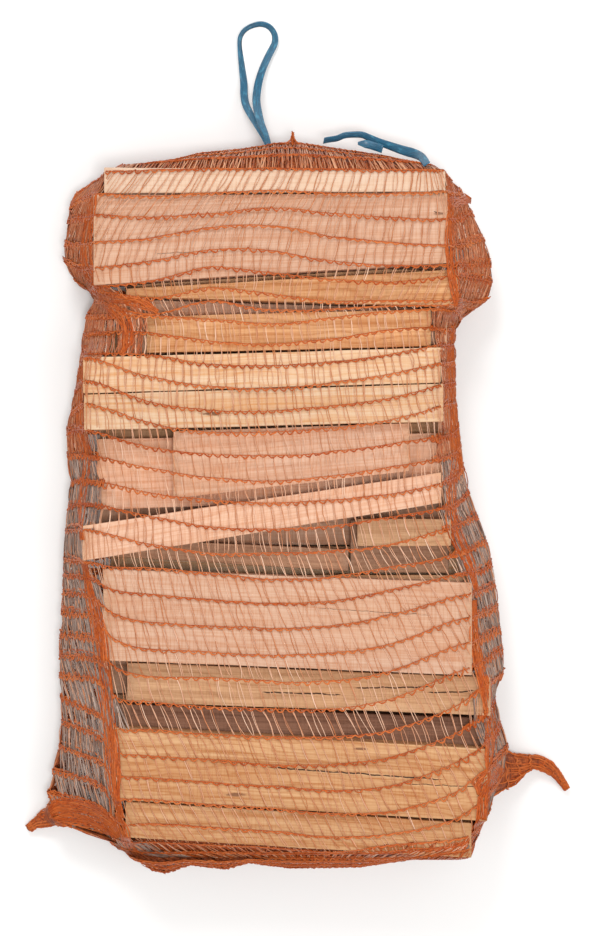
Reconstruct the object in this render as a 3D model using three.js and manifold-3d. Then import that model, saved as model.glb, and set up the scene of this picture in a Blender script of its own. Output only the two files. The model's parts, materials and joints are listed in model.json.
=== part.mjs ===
// A net bag of sawn firewood sticks, lying on its back with the mouth towards +Y.
// Units are millimetres, +Z is up and the surface it rests on is z = 0.

import * as THREE from 'three';
import { mergeVertices } from 'three/addons/utils/BufferGeometryUtils.js';
import Module from 'manifold-3d';

const wasm = await Module();
wasm.setup();

// Sizes shared by the whole bundle
const stickChamfer = 1;
const netThickness = 1.4;
const netTop = 104;
const shoulderRoom = 2.5;
const seamGap = 0.3;
const footSeam = -249;
const mouthSeam = 237;
const waistSeam = 42;
const tapeWidth = 5.6;
const tapeThickness = 1;
const tapeStep = 5;
const tapeSides = 8;

// Heights of the layers, from the back of the bag to its front
const backLayer = [2.4, 27];
const lowerLayer = [28, 52];

// Colours read as plain names, one material to a piece
const woodColours = { pink: '#dfb394', yellow: '#e2b27c', tan: '#cf9a6d', grey: '#b98d6e', brown: '#8f6650' };
const netColour = '#c8642f';
const tapeColour = '#2e7096';

// The sticks seen from the front, from the mouth down to the foot of the bag.
// Each end gives its x, then the lower and upper y of the end face.
const frontSticks = [
  { name: 'stick_front_01', left: [-135.7, 217.4, 235.3], right: [103.3, 218.6, 232.8], heights: [55, 101], wood: 'pink' },
  { name: 'stick_front_02', left: [-143.2, 153.2, 216.4], right: [104.5, 168.6, 217.7], heights: [73.5, 99], wood: 'pink' },
  { name: 'stick_front_03', left: [-120.8, 145.4, 151.1], right: [112.2, 138.3, 164.8], heights: [75, 93], wood: 'yellow' },
  { name: 'stick_front_04', left: [-106.7, 106, 131.7], right: [93.8, 110.7, 137], heights: [73, 88], wood: 'yellow' },
  { name: 'stick_front_05', left: [-150.3, 77.3, 102.2], right: [100, 84.9, 109.3], heights: [53, 102], wood: 'yellow' },
  { name: 'stick_front_06', left: [-149.7, 51.4, 76.5], right: [101.8, 57.5, 84.1], heights: [53, 101], wood: 'yellow' },
  { name: 'stick_front_07', left: [-87.7, 3.2, 51], right: [78.4, 22.9, 56.4], heights: [75, 93], wood: 'pink' },
  { name: 'stick_front_08', left: [-150.5, -40.1, -15.6], right: [100.4, 0.5, 21.8], heights: [76, 101], wood: 'pink' },
  { name: 'stick_front_09', left: [-136.2, -109.5, -45.6], right: [121.8, -120.1, -55.4], heights: [76, 102], wood: 'pink' },
  { name: 'stick_front_10', left: [-120.3, -139.8, -112], right: [135.7, -149.3, -122.5], heights: [53, 89], wood: 'tan' },
  { name: 'stick_front_11', left: [-128.1, -207, -156.9], right: [132.5, -222.3, -171.6], heights: [77, 101.5], wood: 'yellow' },
  { name: 'stick_front_12', left: [-120.7, -233.7, -208.5], right: [121.6, -248.1, -223.6], heights: [53, 100], wood: 'yellow' },
];

// The sticks set back behind them, seen in the gaps or holding the front ones up
const middleSticks = [
  { name: 'stick_middle_01', left: [-138, 168, 214], right: [99, 170, 216], heights: [53, 72.5], wood: 'tan' },
  { name: 'stick_middle_02', left: [-116, 147, 166], right: [104, 147, 166], heights: [53, 72.5], wood: 'tan' },
  { name: 'stick_middle_03', left: [-125, 105.3, 144.8], right: [105.9, 111.7, 138], heights: [53, 72], wood: 'pink' },
  { name: 'stick_middle_04', left: [-142.6, -4.8, 45.6], right: [104.4, 4.4, 49.8], heights: [53, 74], wood: 'pink' },
  { name: 'stick_middle_05', left: [-140, -37.5, -24], right: [35.9, -48.1, -33], heights: [53, 74], wood: 'grey' },
  { name: 'stick_middle_06', left: [37.3, -48.8, -11.9], right: [107.2, -49.5, -14.7], heights: [53, 73.5], wood: 'grey' },
  { name: 'stick_middle_07', left: [41.7, -30, -10.9], right: [107.9, -30, -10.9], heights: [75, 88], wood: 'tan' },
  { name: 'stick_middle_08', left: [-130, -78, -51], right: [117, -78, -51], heights: [53, 75], wood: 'tan' },
  { name: 'stick_middle_09', left: [-128, -108, -80], right: [112, -109, -80], heights: [53, 75], wood: 'yellow' },
  { name: 'stick_middle_10', left: [-126.1, -171.4, -142.3], right: [136.2, -182, -152.6], heights: [53, 76], wood: 'brown' },
  { name: 'stick_middle_11', left: [-122, -205, -174], right: [120, -219, -184.5], heights: [53, 75.5], wood: 'tan' },
];

// The two layers below lie side by side across the bag.
// Each entry gives the width, the two x ends and the wood.
const lowerStart = -233;
const lowerSticks = [
  [54, -118, 120, 'yellow'],
  [40, -132, 118, 'tan'],
  [60, -136, 116, 'pink'],
  [44, -128, 122, 'yellow'],
  [56, -142, 106, 'pink'],
  [46, -138, 102, 'tan'],
  [52, -136, 104, 'yellow'],
  [36, -124, 104, 'pink'],
  [58, -134, 104, 'pink'],
];
const backStart = -236;
const backSticks = [
  [44, -112, 114, 'tan'],
  [58, -130, 124, 'pink'],
  [38, -134, 125, 'yellow'],
  [62, -136, 120, 'yellow'],
  [48, -132, 108, 'pink'],
  [60, -144, 100, 'tan'],
  [40, -138, 98, 'yellow'],
  [50, -120, 97, 'pink'],
  [54, -130, 96, 'yellow'],
];
const layerGap = 1.2;

// Outline of the filled bag seen from the front.
// Each station gives y, then the x of the left side and of the right side.
const silhouette = [
  [-268, -106, 112], [-264, -116, 120], [-256, -126, 126], [-250, -129, 127],
  [-243, -133, 128], [-230, -146, 134], [-221, -153, 137], [-196, -170, 146],
  [-180, -172, 152], [-164, -169, 148], [-146, -171, 141], [-128, -172, 144],
  [-121, -172, 149], [-100, -172, 147], [-58, -169, 142], [-45, -169, 140], [-24, -168, 135],
  [2, -165, 125], [18, -163, 120], [44, -168, 117], [72, -162, 114],
  [100, -157, 113], [116, -155, 112], [130, -154, 114], [138, -151, 124],
  [146, -146, 136], [154, -151, 139], [165, -167, 141], [183, -169, 137],
  [204, -166, 126], [219, -163, 124], [228, -151, 114], [236, -141, 108],
  [239, -139, 106], [243, -118, 90], [249, -64, 62], [254, -38, 34],
  [258, -18, 13], [268, -12, 8],
];

// Top edges of the front sticks, where the net leaves them for the sides
const shoulders = [
  [-248, -120.7, 121.6], [-232, -120.7, 122], [-222, -128.1, 132.5], [-172, -128.1, 132.5],
  [-160, -128, 136], [-140, -130, 137], [-122, -133, 137], [-114, -136.2, 123],
  [-58, -137, 123], [-45, -150.5, 116], [0, -150.5, 100.4], [51, -150, 101.8], [105, -150.3, 100],
  [125, -140, 100], [140, -136, 110], [156, -143.2, 108], [216, -143.2, 104.5],
  [222, -137, 103.3], [236, -135.7, 103.3],
];

// Height of the bag's underside and front along the two ends; between them it lies flat
const footRise = [[-268, 36, 46], [-264, 20, 64], [-256, 3, 94], [-250, 0, netTop]];
const mouthRise = [
  [239, 0, netTop], [243, 12, 95], [249, 26, 79], [254, 34, 68], [258, 38, 61], [268, 40, 59],
];

// Corner ears of the bag: each ring gives its centre, half width and half height
const leftEar = [
  [-150, -212, 22, 32, 17], [-170, -221, 16, 20, 12], [-184, -229, 11, 11, 8],
  [-192, -235.5, 7, 5.5, 5], [-198.5, -240, 4.5, 2.5, 3],
];
const rightEar = [
  [134, -190, 24, 17, 16], [152, -194, 18, 13, 11], [166, -192, 12, 8, 8],
  [180, -195, 8, 7, 6], [191, -202, 6, 6, 4.5], [197.5, -211, 4, 3, 3],
];
const earSides = 10;

// Routes of the two loops of draw tape, from the mouth out and back again
const leftLoopRoute = [
  [-23, 259.5, 48], [-27.2, 267.5, 40], [-31.6, 276.6, 28], [-37.7, 289.5, 14], [-39.5, 298.9, 7],
  [-39.3, 308, 3], [-41.6, 321.3, 1.6], [-42.9, 331.2, 1.2], [-43.3, 337, 1.2], [-41.8, 341.4, 1.2],
  [-38.6, 345.1, 1.2], [-34, 347.6, 1.2], [-28.7, 348.9, 1.2], [-22.1, 350.5, 1.2], [-17.2, 350.6, 1.2],
  [-17.2, 347.8, 1.2], [-19.6, 343.8, 1.4], [-22.1, 338.4, 1.6], [-24.8, 331.2, 1.8], [-27.4, 323.6, 2.6],
  [-28.7, 314.7, 4.4], [-30, 304, 9], [-30.3, 296.6, 15], [-30.2, 291, 21], [-29.1, 284, 29],
  [-26.9, 275, 40], [-23.6, 266.6, 50],
];
const rightLoopRoute = [
  [18.4, 259.2, 58], [22.6, 260.5, 54], [28.2, 261.8, 51], [33.5, 264, 50], [39.6, 264.6, 50],
  [46, 264.3, 51], [51.4, 261.9, 53], [58.6, 258.3, 57], [66.5, 254.8, 62], [75, 251, 69],
  [83, 247.6, 77],
];
const rightTailRoute = [[42.8, 257, 61], [49, 256.6, 60], [55, 254.8, 61], [60.5, 252.6, 63]];

function mix(a, b, t) {
  return a + (b - a) * t;
}

// Reads a table of [y, first, second] rows at any y between its ends
function along(table, y) {
  const last = table.length - 1;
  if (y <= table[0][0]) return table[0].slice(1);
  if (y >= table[last][0]) return table[last].slice(1);
  const i = table.findIndex((row) => row[0] > y) - 1;
  const t = (y - table[i][0]) / (table[i + 1][0] - table[i][0]);
  return [mix(table[i][1], table[i + 1][1], t), mix(table[i][2], table[i + 1][2], t)];
}

// Closed body through a row of rings that all have the same number of points
function loft(rings) {
  const count = rings[0].length;
  const positions = [];
  const indices = [];
  for (const ring of rings) {
    for (const point of ring) positions.push(point.x, point.y, point.z);
  }
  for (let r = 0; r < rings.length - 1; r += 1) {
    for (let i = 0; i < count; i += 1) {
      const a = r * count + i;
      const b = r * count + ((i + 1) % count);
      indices.push(a, b, b + count, a, b + count, a + count);
    }
  }
  const first = rings[0];
  const end = rings[rings.length - 1];
  const endStart = (rings.length - 1) * count;
  for (const [ring, start, forward] of [[first, 0, false], [end, endStart, true]]) {
    const centre = ring.reduce((sum, point) => sum.add(point), new THREE.Vector3()).divideScalar(count);
    const middle = positions.length / 3;
    positions.push(centre.x, centre.y, centre.z);
    for (let i = 0; i < count; i += 1) {
      const a = start + i;
      const b = start + ((i + 1) % count);
      if (forward) indices.push(a, b, middle);
      else indices.push(b, a, middle);
    }
  }
  const geometry = new THREE.BufferGeometry();
  geometry.setAttribute('position', new THREE.Float32BufferAttribute(positions, 3));
  geometry.setIndex(indices);
  return geometry;
}

function toSolid(geometry) {
  const plain = geometry.clone();
  plain.deleteAttribute('normal');
  plain.deleteAttribute('uv');
  const merged = mergeVertices(plain, 1e-4);
  const vertProperties = new Float32Array(merged.attributes.position.array);
  const triVerts = new Uint32Array(merged.index.array);
  return new wasm.Manifold(new wasm.Mesh({ numProp: 3, vertProperties, triVerts }));
}

function toGeometry(solid) {
  const mesh = solid.getMesh();
  const geometry = new THREE.BufferGeometry();
  geometry.setAttribute('position', new THREE.BufferAttribute(new Float32Array(mesh.vertProperties), 3));
  geometry.setIndex(new THREE.BufferAttribute(new Uint32Array(mesh.triVerts), 1));
  geometry.computeVertexNormals();
  return geometry;
}

// One sawn stick: its outline seen from the front, given the stick's depth and chamfered edges
function makeStick({ name, left, right, heights, wood }) {
  const [leftX, leftLow, leftHigh] = left;
  const [rightX, rightLow, rightHigh] = right;
  const centreX = (leftX + rightX) / 2;
  const centreY = (leftLow + leftHigh + rightLow + rightHigh) / 4;
  const outline = new THREE.Shape([
    new THREE.Vector2(leftX - centreX, leftLow - centreY),
    new THREE.Vector2(rightX - centreX, rightLow - centreY),
    new THREE.Vector2(rightX - centreX, rightHigh - centreY),
    new THREE.Vector2(leftX - centreX, leftHigh - centreY),
  ]);
  const geometry = new THREE.ExtrudeGeometry(outline, {
    depth: heights[1] - heights[0] - 2 * stickChamfer,
    bevelEnabled: true,
    bevelThickness: stickChamfer,
    bevelSize: stickChamfer,
    bevelOffset: -stickChamfer,
    bevelSegments: 1,
  });
  const material = new THREE.MeshStandardMaterial({ color: woodColours[wood], roughness: 0.85, metalness: 0 });
  const stick = new THREE.Mesh(geometry, material);
  stick.name = name;
  stick.position.set(centreX, centreY, heights[0] + stickChamfer);
  return stick;
}

// A layer of straight sticks laid side by side from the foot of the bag to its mouth
function makeLayer(prefix, rows, startY, heights) {
  const layer = new THREE.Group();
  let low = startY;
  rows.forEach(([width, leftX, rightX, wood], i) => {
    const high = low + width;
    const name = `${prefix}_${String(i + 1).padStart(2, '0')}`;
    layer.add(makeStick({ name, left: [leftX, low, high], right: [rightX, low, high], heights, wood }));
    low = high + layerGap;
  });
  return layer;
}

// Underside and front height of the bag at y
function riseAt(y) {
  if (y < footRise[footRise.length - 1][0]) return along(footRise, y);
  return along(mouthRise, y);
}

// Ring around the bag at y, moved inwards by inset; shift moves the ring along the bag
function bagRing(y, inset, shift) {
  const [leftX, rightX] = along(silhouette, y);
  const [leftEdge, rightEdge] = along(shoulders, y);
  const [low, high] = riseAt(y);
  const bottom = low + inset;
  const top = high - inset;
  const left = leftX + inset;
  const right = rightX - inset;
  const narrow = Math.min(1, (high - low) / netTop);
  const leftShoulder = Math.max(leftEdge - shoulderRoom, mix((left + right) / 2, left, 0.5 + 0.5 * narrow));
  const rightShoulder = Math.min(rightEdge + shoulderRoom, mix((left + right) / 2, right, 0.5 + 0.5 * narrow));
  const waist = mix(bottom, top, 0.4);
  const foot = 11 * narrow + 2;
  const curves = [
    [[rightShoulder, top], [mix(rightShoulder, right, 0.85), mix(top, waist, 0.4)], [right, waist]],
    [[right, waist], [right, bottom], [right - foot, bottom]],
    [[right - foot, bottom], [(left + right) / 2, bottom], [left + foot, bottom]],
    [[left + foot, bottom], [left, bottom], [left, waist]],
    [[left, waist], [mix(leftShoulder, left, 0.85), mix(top, waist, 0.4)], [leftShoulder, top]],
    [[leftShoulder, top], [(left + right) / 2, top], [rightShoulder, top]],
  ];
  const ring = [];
  for (const [from, control, to] of curves) {
    const curve = new THREE.QuadraticBezierCurve(
      new THREE.Vector2(...from),
      new THREE.Vector2(...control),
      new THREE.Vector2(...to),
    );
    const steps = 5;
    for (const point of curve.getPoints(steps).slice(0, steps)) {
      ring.push(new THREE.Vector3(point.x, y + shift, point.y));
    }
  }
  return ring;
}

// Flattened ring across an ear, square to the way the ear runs in plan
function earRing(rings, i) {
  const [x, y, z, halfWidth, halfHeight] = rings[i];
  const before = rings[Math.max(0, i - 1)];
  const after = rings[Math.min(rings.length - 1, i + 1)];
  const side = new THREE.Vector3(before[1] - after[1], after[0] - before[0], 0).normalize();
  const points = [];
  for (let k = 0; k < earSides; k += 1) {
    const angle = (2 * Math.PI * k) / earSides;
    const point = new THREE.Vector3(x, y, z + halfHeight * Math.sin(angle));
    points.push(point.addScaledVector(side, halfWidth * Math.cos(angle)));
  }
  return points;
}

function netMesh(name, solid) {
  const material = new THREE.MeshStandardMaterial({
    color: netColour, roughness: 0.6, metalness: 0, transparent: true, opacity: 0.35,
  });
  const mesh = new THREE.Mesh(toGeometry(solid), material);
  mesh.name = name;
  return mesh;
}

// Solid box between two corners, used to cut the bag into its panels
function boxBetween(low, high) {
  const corner = new THREE.Vector3(...low);
  const size = new THREE.Vector3(...high).sub(corner);
  const geometry = new THREE.BoxGeometry(size.x, size.y, size.z);
  geometry.translate(corner.x + size.x / 2, corner.y + size.y / 2, corner.z + size.z / 2);
  return toSolid(geometry);
}

// The bag as a closed shell, gathered shut at its mouth, cut into a front, a back,
// an upper and a lower strip of each side, a foot and a mouth
function makeNetBag() {
  const stations = silhouette.map((row) => row[0]);
  const outer = toSolid(loft(stations.map((y) => bagRing(y, 0, 0))));
  const innerRings = stations.map((y) => {
    let shift = 0;
    if (y < -250) shift = netThickness;
    if (y > 239) shift = -netThickness * 0.8;
    return bagRing(y, netThickness, shift);
  });
  const shell = outer.subtract(toSolid(loft(innerRings)));

  const far = 400;
  const backEdge = netThickness + 0.15;
  const frontEdge = netTop - netThickness - 0.15;
  const halfSeam = seamGap / 2;
  const belt = shell.intersect(boxBetween([-far, -far, backEdge + seamGap], [far, far, frontEdge - seamGap]));
  const sideLow = footSeam + halfSeam;
  const sideHigh = mouthSeam - halfSeam;
  const upperStrip = [waistSeam + halfSeam, far];
  const lowerStrip = [-far, waistSeam - halfSeam];
  const panels = {
    net_front: shell.intersect(boxBetween([-far, -far, frontEdge], [far, far, far])),
    net_back: shell.intersect(boxBetween([-far, -far, -far], [far, far, backEdge])),
    net_left_upper: belt.intersect(boxBetween([-far, sideLow, upperStrip[0]], [0, sideHigh, upperStrip[1]])),
    net_left_lower: belt.intersect(boxBetween([-far, sideLow, lowerStrip[0]], [0, sideHigh, lowerStrip[1]])),
    net_right_upper: belt.intersect(boxBetween([0, sideLow, upperStrip[0]], [far, sideHigh, upperStrip[1]])),
    net_right_lower: belt.intersect(boxBetween([0, sideLow, lowerStrip[0]], [far, sideHigh, lowerStrip[1]])),
    net_foot: belt.intersect(boxBetween([-far, -far, -far], [far, footSeam - halfSeam, far])),
    net_mouth: belt.intersect(boxBetween([-far, mouthSeam + halfSeam, -far], [far, far, far])),
  };
  const bag = new THREE.Group();
  for (const [name, solid] of Object.entries(panels)) bag.add(netMesh(name, solid));

  const aroundBag = toSolid(loft(stations.map((y) => bagRing(y, -1.6 * seamGap, 0))));
  for (const [name, rings] of [['net_ear_left', leftEar], ['net_ear_right', rightEar]]) {
    const ear = toSolid(loft(rings.map((_, i) => earRing(rings, i))));
    bag.add(netMesh(name, ear.subtract(aroundBag)));
  }
  return bag;
}

// Flat tape along a route, its broad face kept level
function makeTape(name, route) {
  const path = new THREE.CatmullRomCurve3(route.map((point) => new THREE.Vector3(...point)), false, 'centripetal');
  const steps = Math.round(path.getLength() / tapeStep);
  const up = new THREE.Vector3(0, 0, 1);
  const rings = [];
  for (let i = 0; i <= steps; i += 1) {
    const centre = path.getPointAt(i / steps);
    const tangent = path.getTangentAt(i / steps);
    const side = new THREE.Vector3().crossVectors(up, tangent).normalize();
    const face = new THREE.Vector3().crossVectors(tangent, side);
    const ring = [];
    for (let k = 0; k < tapeSides; k += 1) {
      const angle = (2 * Math.PI * (k + 0.5)) / tapeSides;
      const point = centre.clone().addScaledVector(side, (tapeWidth / 2) * Math.cos(angle));
      ring.push(point.addScaledVector(face, (tapeThickness / 2) * Math.sin(angle)));
    }
    rings.push(ring);
  }
  const geometry = loft(rings);
  geometry.computeVertexNormals();
  const material = new THREE.MeshStandardMaterial({ color: tapeColour, roughness: 0.35, metalness: 0 });
  const tape = new THREE.Mesh(geometry, material);
  tape.name = name;
  return tape;
}

const bundle = new THREE.Group();
bundle.name = 'firewood_bundle';

const sticks = new THREE.Group();
for (const stick of [...frontSticks, ...middleSticks]) sticks.add(makeStick(stick));
sticks.add(makeLayer('stick_lower', lowerSticks, lowerStart, lowerLayer));
sticks.add(makeLayer('stick_back', backSticks, backStart, backLayer));
bundle.add(sticks);

bundle.add(makeNetBag());
bundle.add(makeTape('draw_tape_left_loop', leftLoopRoute));
bundle.add(makeTape('draw_tape_right_loop', rightLoopRoute));
bundle.add(makeTape('draw_tape_right_tail', rightTailRoute));

export default bundle;
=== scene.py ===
import bpy
import bmesh
import json
import math
import numpy as np
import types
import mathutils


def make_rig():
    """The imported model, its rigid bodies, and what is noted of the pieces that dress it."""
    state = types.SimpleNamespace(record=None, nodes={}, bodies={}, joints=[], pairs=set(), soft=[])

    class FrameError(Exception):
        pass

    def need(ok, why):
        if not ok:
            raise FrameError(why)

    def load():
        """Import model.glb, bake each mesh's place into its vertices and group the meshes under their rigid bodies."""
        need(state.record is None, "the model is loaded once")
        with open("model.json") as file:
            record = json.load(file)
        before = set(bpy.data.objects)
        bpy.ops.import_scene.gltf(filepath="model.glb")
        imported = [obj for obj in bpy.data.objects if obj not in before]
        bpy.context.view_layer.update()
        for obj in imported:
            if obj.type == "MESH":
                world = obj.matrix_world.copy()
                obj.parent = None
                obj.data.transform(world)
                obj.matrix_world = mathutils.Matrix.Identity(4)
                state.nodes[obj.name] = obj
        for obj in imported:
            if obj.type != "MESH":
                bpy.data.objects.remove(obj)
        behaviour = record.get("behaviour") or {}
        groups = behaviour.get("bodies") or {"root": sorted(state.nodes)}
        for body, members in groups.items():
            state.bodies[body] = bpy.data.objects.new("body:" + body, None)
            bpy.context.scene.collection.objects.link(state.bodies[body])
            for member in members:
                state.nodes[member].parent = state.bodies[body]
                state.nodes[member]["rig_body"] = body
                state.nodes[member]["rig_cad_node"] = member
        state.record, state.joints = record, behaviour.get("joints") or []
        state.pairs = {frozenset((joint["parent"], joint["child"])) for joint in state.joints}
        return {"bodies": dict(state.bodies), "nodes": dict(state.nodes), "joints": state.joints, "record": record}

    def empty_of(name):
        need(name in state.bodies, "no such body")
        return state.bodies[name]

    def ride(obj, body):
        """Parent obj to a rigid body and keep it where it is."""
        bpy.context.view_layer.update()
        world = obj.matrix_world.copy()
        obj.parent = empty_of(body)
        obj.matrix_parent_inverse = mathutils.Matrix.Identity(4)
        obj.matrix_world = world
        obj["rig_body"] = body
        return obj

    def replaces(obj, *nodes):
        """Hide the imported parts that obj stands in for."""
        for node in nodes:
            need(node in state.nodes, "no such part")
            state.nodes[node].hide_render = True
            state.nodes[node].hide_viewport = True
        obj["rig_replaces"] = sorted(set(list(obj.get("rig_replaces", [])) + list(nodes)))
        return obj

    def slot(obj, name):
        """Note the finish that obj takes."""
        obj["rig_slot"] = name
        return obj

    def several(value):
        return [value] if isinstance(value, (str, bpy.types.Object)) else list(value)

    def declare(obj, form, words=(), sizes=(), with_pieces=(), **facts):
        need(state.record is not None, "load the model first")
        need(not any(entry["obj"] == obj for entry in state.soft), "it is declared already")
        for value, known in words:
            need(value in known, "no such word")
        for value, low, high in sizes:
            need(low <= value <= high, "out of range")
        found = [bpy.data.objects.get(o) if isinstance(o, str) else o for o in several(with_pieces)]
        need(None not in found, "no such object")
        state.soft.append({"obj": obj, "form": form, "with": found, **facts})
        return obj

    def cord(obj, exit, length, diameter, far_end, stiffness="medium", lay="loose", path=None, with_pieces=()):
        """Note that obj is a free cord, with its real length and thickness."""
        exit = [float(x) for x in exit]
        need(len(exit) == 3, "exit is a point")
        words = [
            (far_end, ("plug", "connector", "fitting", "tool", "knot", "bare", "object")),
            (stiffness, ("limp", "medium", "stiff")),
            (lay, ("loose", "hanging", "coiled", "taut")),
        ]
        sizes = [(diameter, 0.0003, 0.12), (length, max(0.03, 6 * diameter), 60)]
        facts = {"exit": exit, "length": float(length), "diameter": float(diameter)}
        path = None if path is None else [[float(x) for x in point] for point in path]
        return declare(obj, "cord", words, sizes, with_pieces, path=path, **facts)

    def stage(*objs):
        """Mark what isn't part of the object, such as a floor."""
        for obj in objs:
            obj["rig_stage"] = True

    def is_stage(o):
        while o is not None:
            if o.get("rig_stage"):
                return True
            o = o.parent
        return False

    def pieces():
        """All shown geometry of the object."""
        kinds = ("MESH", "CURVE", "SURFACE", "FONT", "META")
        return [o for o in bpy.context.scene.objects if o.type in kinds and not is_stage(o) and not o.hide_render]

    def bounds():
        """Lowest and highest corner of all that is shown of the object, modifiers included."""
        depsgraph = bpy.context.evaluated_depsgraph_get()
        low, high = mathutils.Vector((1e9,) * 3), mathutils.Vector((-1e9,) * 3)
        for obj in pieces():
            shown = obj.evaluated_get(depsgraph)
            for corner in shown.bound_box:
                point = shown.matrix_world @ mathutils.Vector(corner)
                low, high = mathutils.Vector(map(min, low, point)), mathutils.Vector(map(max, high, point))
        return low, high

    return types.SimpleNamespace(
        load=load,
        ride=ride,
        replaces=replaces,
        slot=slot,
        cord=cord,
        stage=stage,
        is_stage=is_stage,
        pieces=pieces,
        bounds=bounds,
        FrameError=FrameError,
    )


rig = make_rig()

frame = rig.load()
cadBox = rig.bounds()
mm = 0.001
print("frame loaded, box", [[round(v, 4) for v in corner] for corner in cadBox])


# camera straight above the lying bag, mouth at the top of the picture
cameraValues = {"height": 2.0, "x": 0.0015, "y": 0.025, "shownWidth": 0.4422, "picture": (600, 936), "sensor": 36.0}


def makeCamera(values):
    data = bpy.data.cameras.new("bundleCamera")
    data.sensor_fit = "VERTICAL"
    data.sensor_height = values["sensor"]
    wide, high = values["picture"]
    data.lens = values["sensor"] * values["height"] / (values["shownWidth"] * (high / wide))
    data.clip_end = 20.0
    camera = bpy.data.objects.new("bundleCamera", data)
    camera.location = (values["x"], values["y"], values["height"])
    bpy.context.scene.collection.objects.link(camera)
    bpy.context.scene.camera = camera


makeCamera(cameraValues)


def unit(vectors):
    return vectors / np.maximum(np.linalg.norm(vectors, axis=-1, keepdims=True), 1e-12)


def ramp(value, zero, one):
    # 0 on one side, 1 on the other, even in between
    return np.clip((value - zero) / (one - zero), 0, 1)


def readPoints(piece):
    points = np.empty(len(piece.data.vertices) * 3, dtype=np.float32)
    piece.data.vertices.foreach_get("co", points)
    return points.reshape(-1, 3)

def meshPiece(name, points, quads, material):
    # points in millimetres, quads as rows of four indices (a repeated last index makes a triangle)
    mesh = bpy.data.meshes.new(name)
    mesh.vertices.add(len(points))
    mesh.vertices.foreach_set("co", (np.asarray(points, dtype=np.float32) * mm).ravel())
    quads = np.asarray(quads, dtype=np.int32)
    mesh.loops.add(quads.size)
    mesh.loops.foreach_set("vertex_index", quads.ravel())
    mesh.polygons.add(len(quads))
    mesh.polygons.foreach_set("loop_start", np.arange(0, quads.size, quads.shape[1], dtype=np.int32))
    mesh.update(calc_edges=True)
    mesh.validate()
    mesh.polygons.foreach_set("use_smooth", np.ones(len(mesh.polygons), dtype=bool))
    mesh.materials.append(material)
    piece = bpy.data.objects.new(name, mesh)
    bpy.context.scene.collection.objects.link(piece)
    return piece


def addAttribute(piece, name, values):
    values = np.asarray(values, dtype=np.float32)
    kind = "FLOAT" if values.ndim == 1 else "FLOAT_VECTOR"
    layer = piece.data.attributes.new(name, kind, "POINT")
    layer.data.foreach_set("value" if kind == "FLOAT" else "vector", values.ravel())


def tubeQuads(strands, count, sides):
    # walls and end caps of closed tubes, each made of count rings
    grid = np.arange(strands * count * sides).reshape(strands, count, sides)
    following = np.roll(grid, -1, axis=2)
    walls = np.stack([grid[:, :-1], grid[:, 1:], following[:, 1:], following[:, :-1]], axis=-1).reshape(-1, 4)
    caps = []
    for k in range(sides // 2 - 1):
        cap = (k, k + 1, sides - 2 - k, sides - 1 - k)
        caps += [grid[:, 0, cap], grid[:, -1, cap[::-1]]]
    return np.vstack([walls] + caps)


def runAlong(points):
    return np.concatenate([[0], np.cumsum(np.linalg.norm(np.diff(points, axis=0), axis=1))])


def evenly(points, count):
    run = runAlong(points)
    even = np.linspace(0, run[-1], count)
    return np.stack([np.interp(even, run, points[:, k]) for k in range(3)], axis=1)


def levelSide(tangent):
    # the level direction across a route
    return np.stack([-tangent[:, 1], tangent[:, 0], np.zeros(len(tangent))], axis=1)


def smoothRoute(route, step):
    # even points along a smooth curve through the given ones
    p = np.asarray(route, dtype=float)
    longer = np.vstack([2 * p[0] - p[1], p, 2 * p[-1] - p[-2]])
    t = np.linspace(0, 1, 24, endpoint=False)[:, None]
    out = []
    for i in range(len(p) - 1):
        a, b, c, d = longer[i:i + 4]
        curve = 2 * b + (c - a) * t + (2 * a - 5 * b + 4 * c - d) * t ** 2 + (3 * b - a - 3 * c + d) * t ** 3
        out.append(0.5 * curve)
    dense = np.vstack(out + [p[-1:]])
    length = runAlong(dense)[-1]
    return evenly(dense, max(3, int(round(length / step)) + 1)), length


class NodeMaker:
    # short calls that each add one shader node and return its output socket
    def __init__(self, tree):
        self.tree = tree

    def put(self, socket, value):
        if isinstance(value, bpy.types.NodeSocket):
            self.tree.links.new(value, socket)
        else:
            socket.default_value = value

    def add(self, kind, inputs=None, **settings):
        node = self.tree.nodes.new("ShaderNode" + kind)
        for key, value in settings.items():
            setattr(node, key, value)
        for key, value in (inputs or {}).items():
            self.put(node.inputs[key], value)
        return node

    def math(self, operation, *values, clamp=False):
        return self.add("Math", dict(enumerate(values)), operation=operation, use_clamp=clamp).outputs[0]

    def plus(self, a, b, clamp=False):
        return self.math("ADD", a, b, clamp=clamp)

    def times(self, a, b):
        return self.math("MULTIPLY", a, b)

    def hypot(self, a, b):
        return self.math("SQRT", self.plus(self.times(a, a), self.times(b, b)))

    def mixColor(self, factor, a, b, blend="MIX"):
        return self.add("Mix", {0: factor, 6: a, 7: b}, data_type="RGBA", blend_type=blend).outputs[2]

    def mapRange(self, value, low, high, toLow=0.0, toHigh=1.0):
        inputs = dict(enumerate((value, low, high, toLow, toHigh)))
        return self.add("MapRange", inputs, interpolation_type="SMOOTHSTEP").outputs[0]

    def scaled(self, vector, scale):
        return self.add("VectorMath", {0: vector, 1: scale}, operation="MULTIPLY").outputs[0]

    def noise(self, vector, scale, detail, size=1.0, **more):
        inputs = {"Vector": self.scaled(vector, scale), "Scale": size, "Detail": detail, **more}
        return self.add("TexNoise", inputs).outputs["Fac"]

    def attribute(self, name, output="Vector"):
        return self.add("Attribute", attribute_name=name).outputs[output]

    def split(self, vector):
        return self.add("SeparateXYZ", {"Vector": vector}).outputs

    def bump(self, height, strength, distance):
        inputs = {"Strength": strength, "Distance": distance, "Height": height}
        return self.add("Bump", inputs).outputs["Normal"]


def newMaterial(name):
    material = bpy.data.materials.new(name)
    material.use_nodes = True
    return material, NodeMaker(material.node_tree), material.node_tree.nodes["Principled BSDF"].inputs


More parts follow.
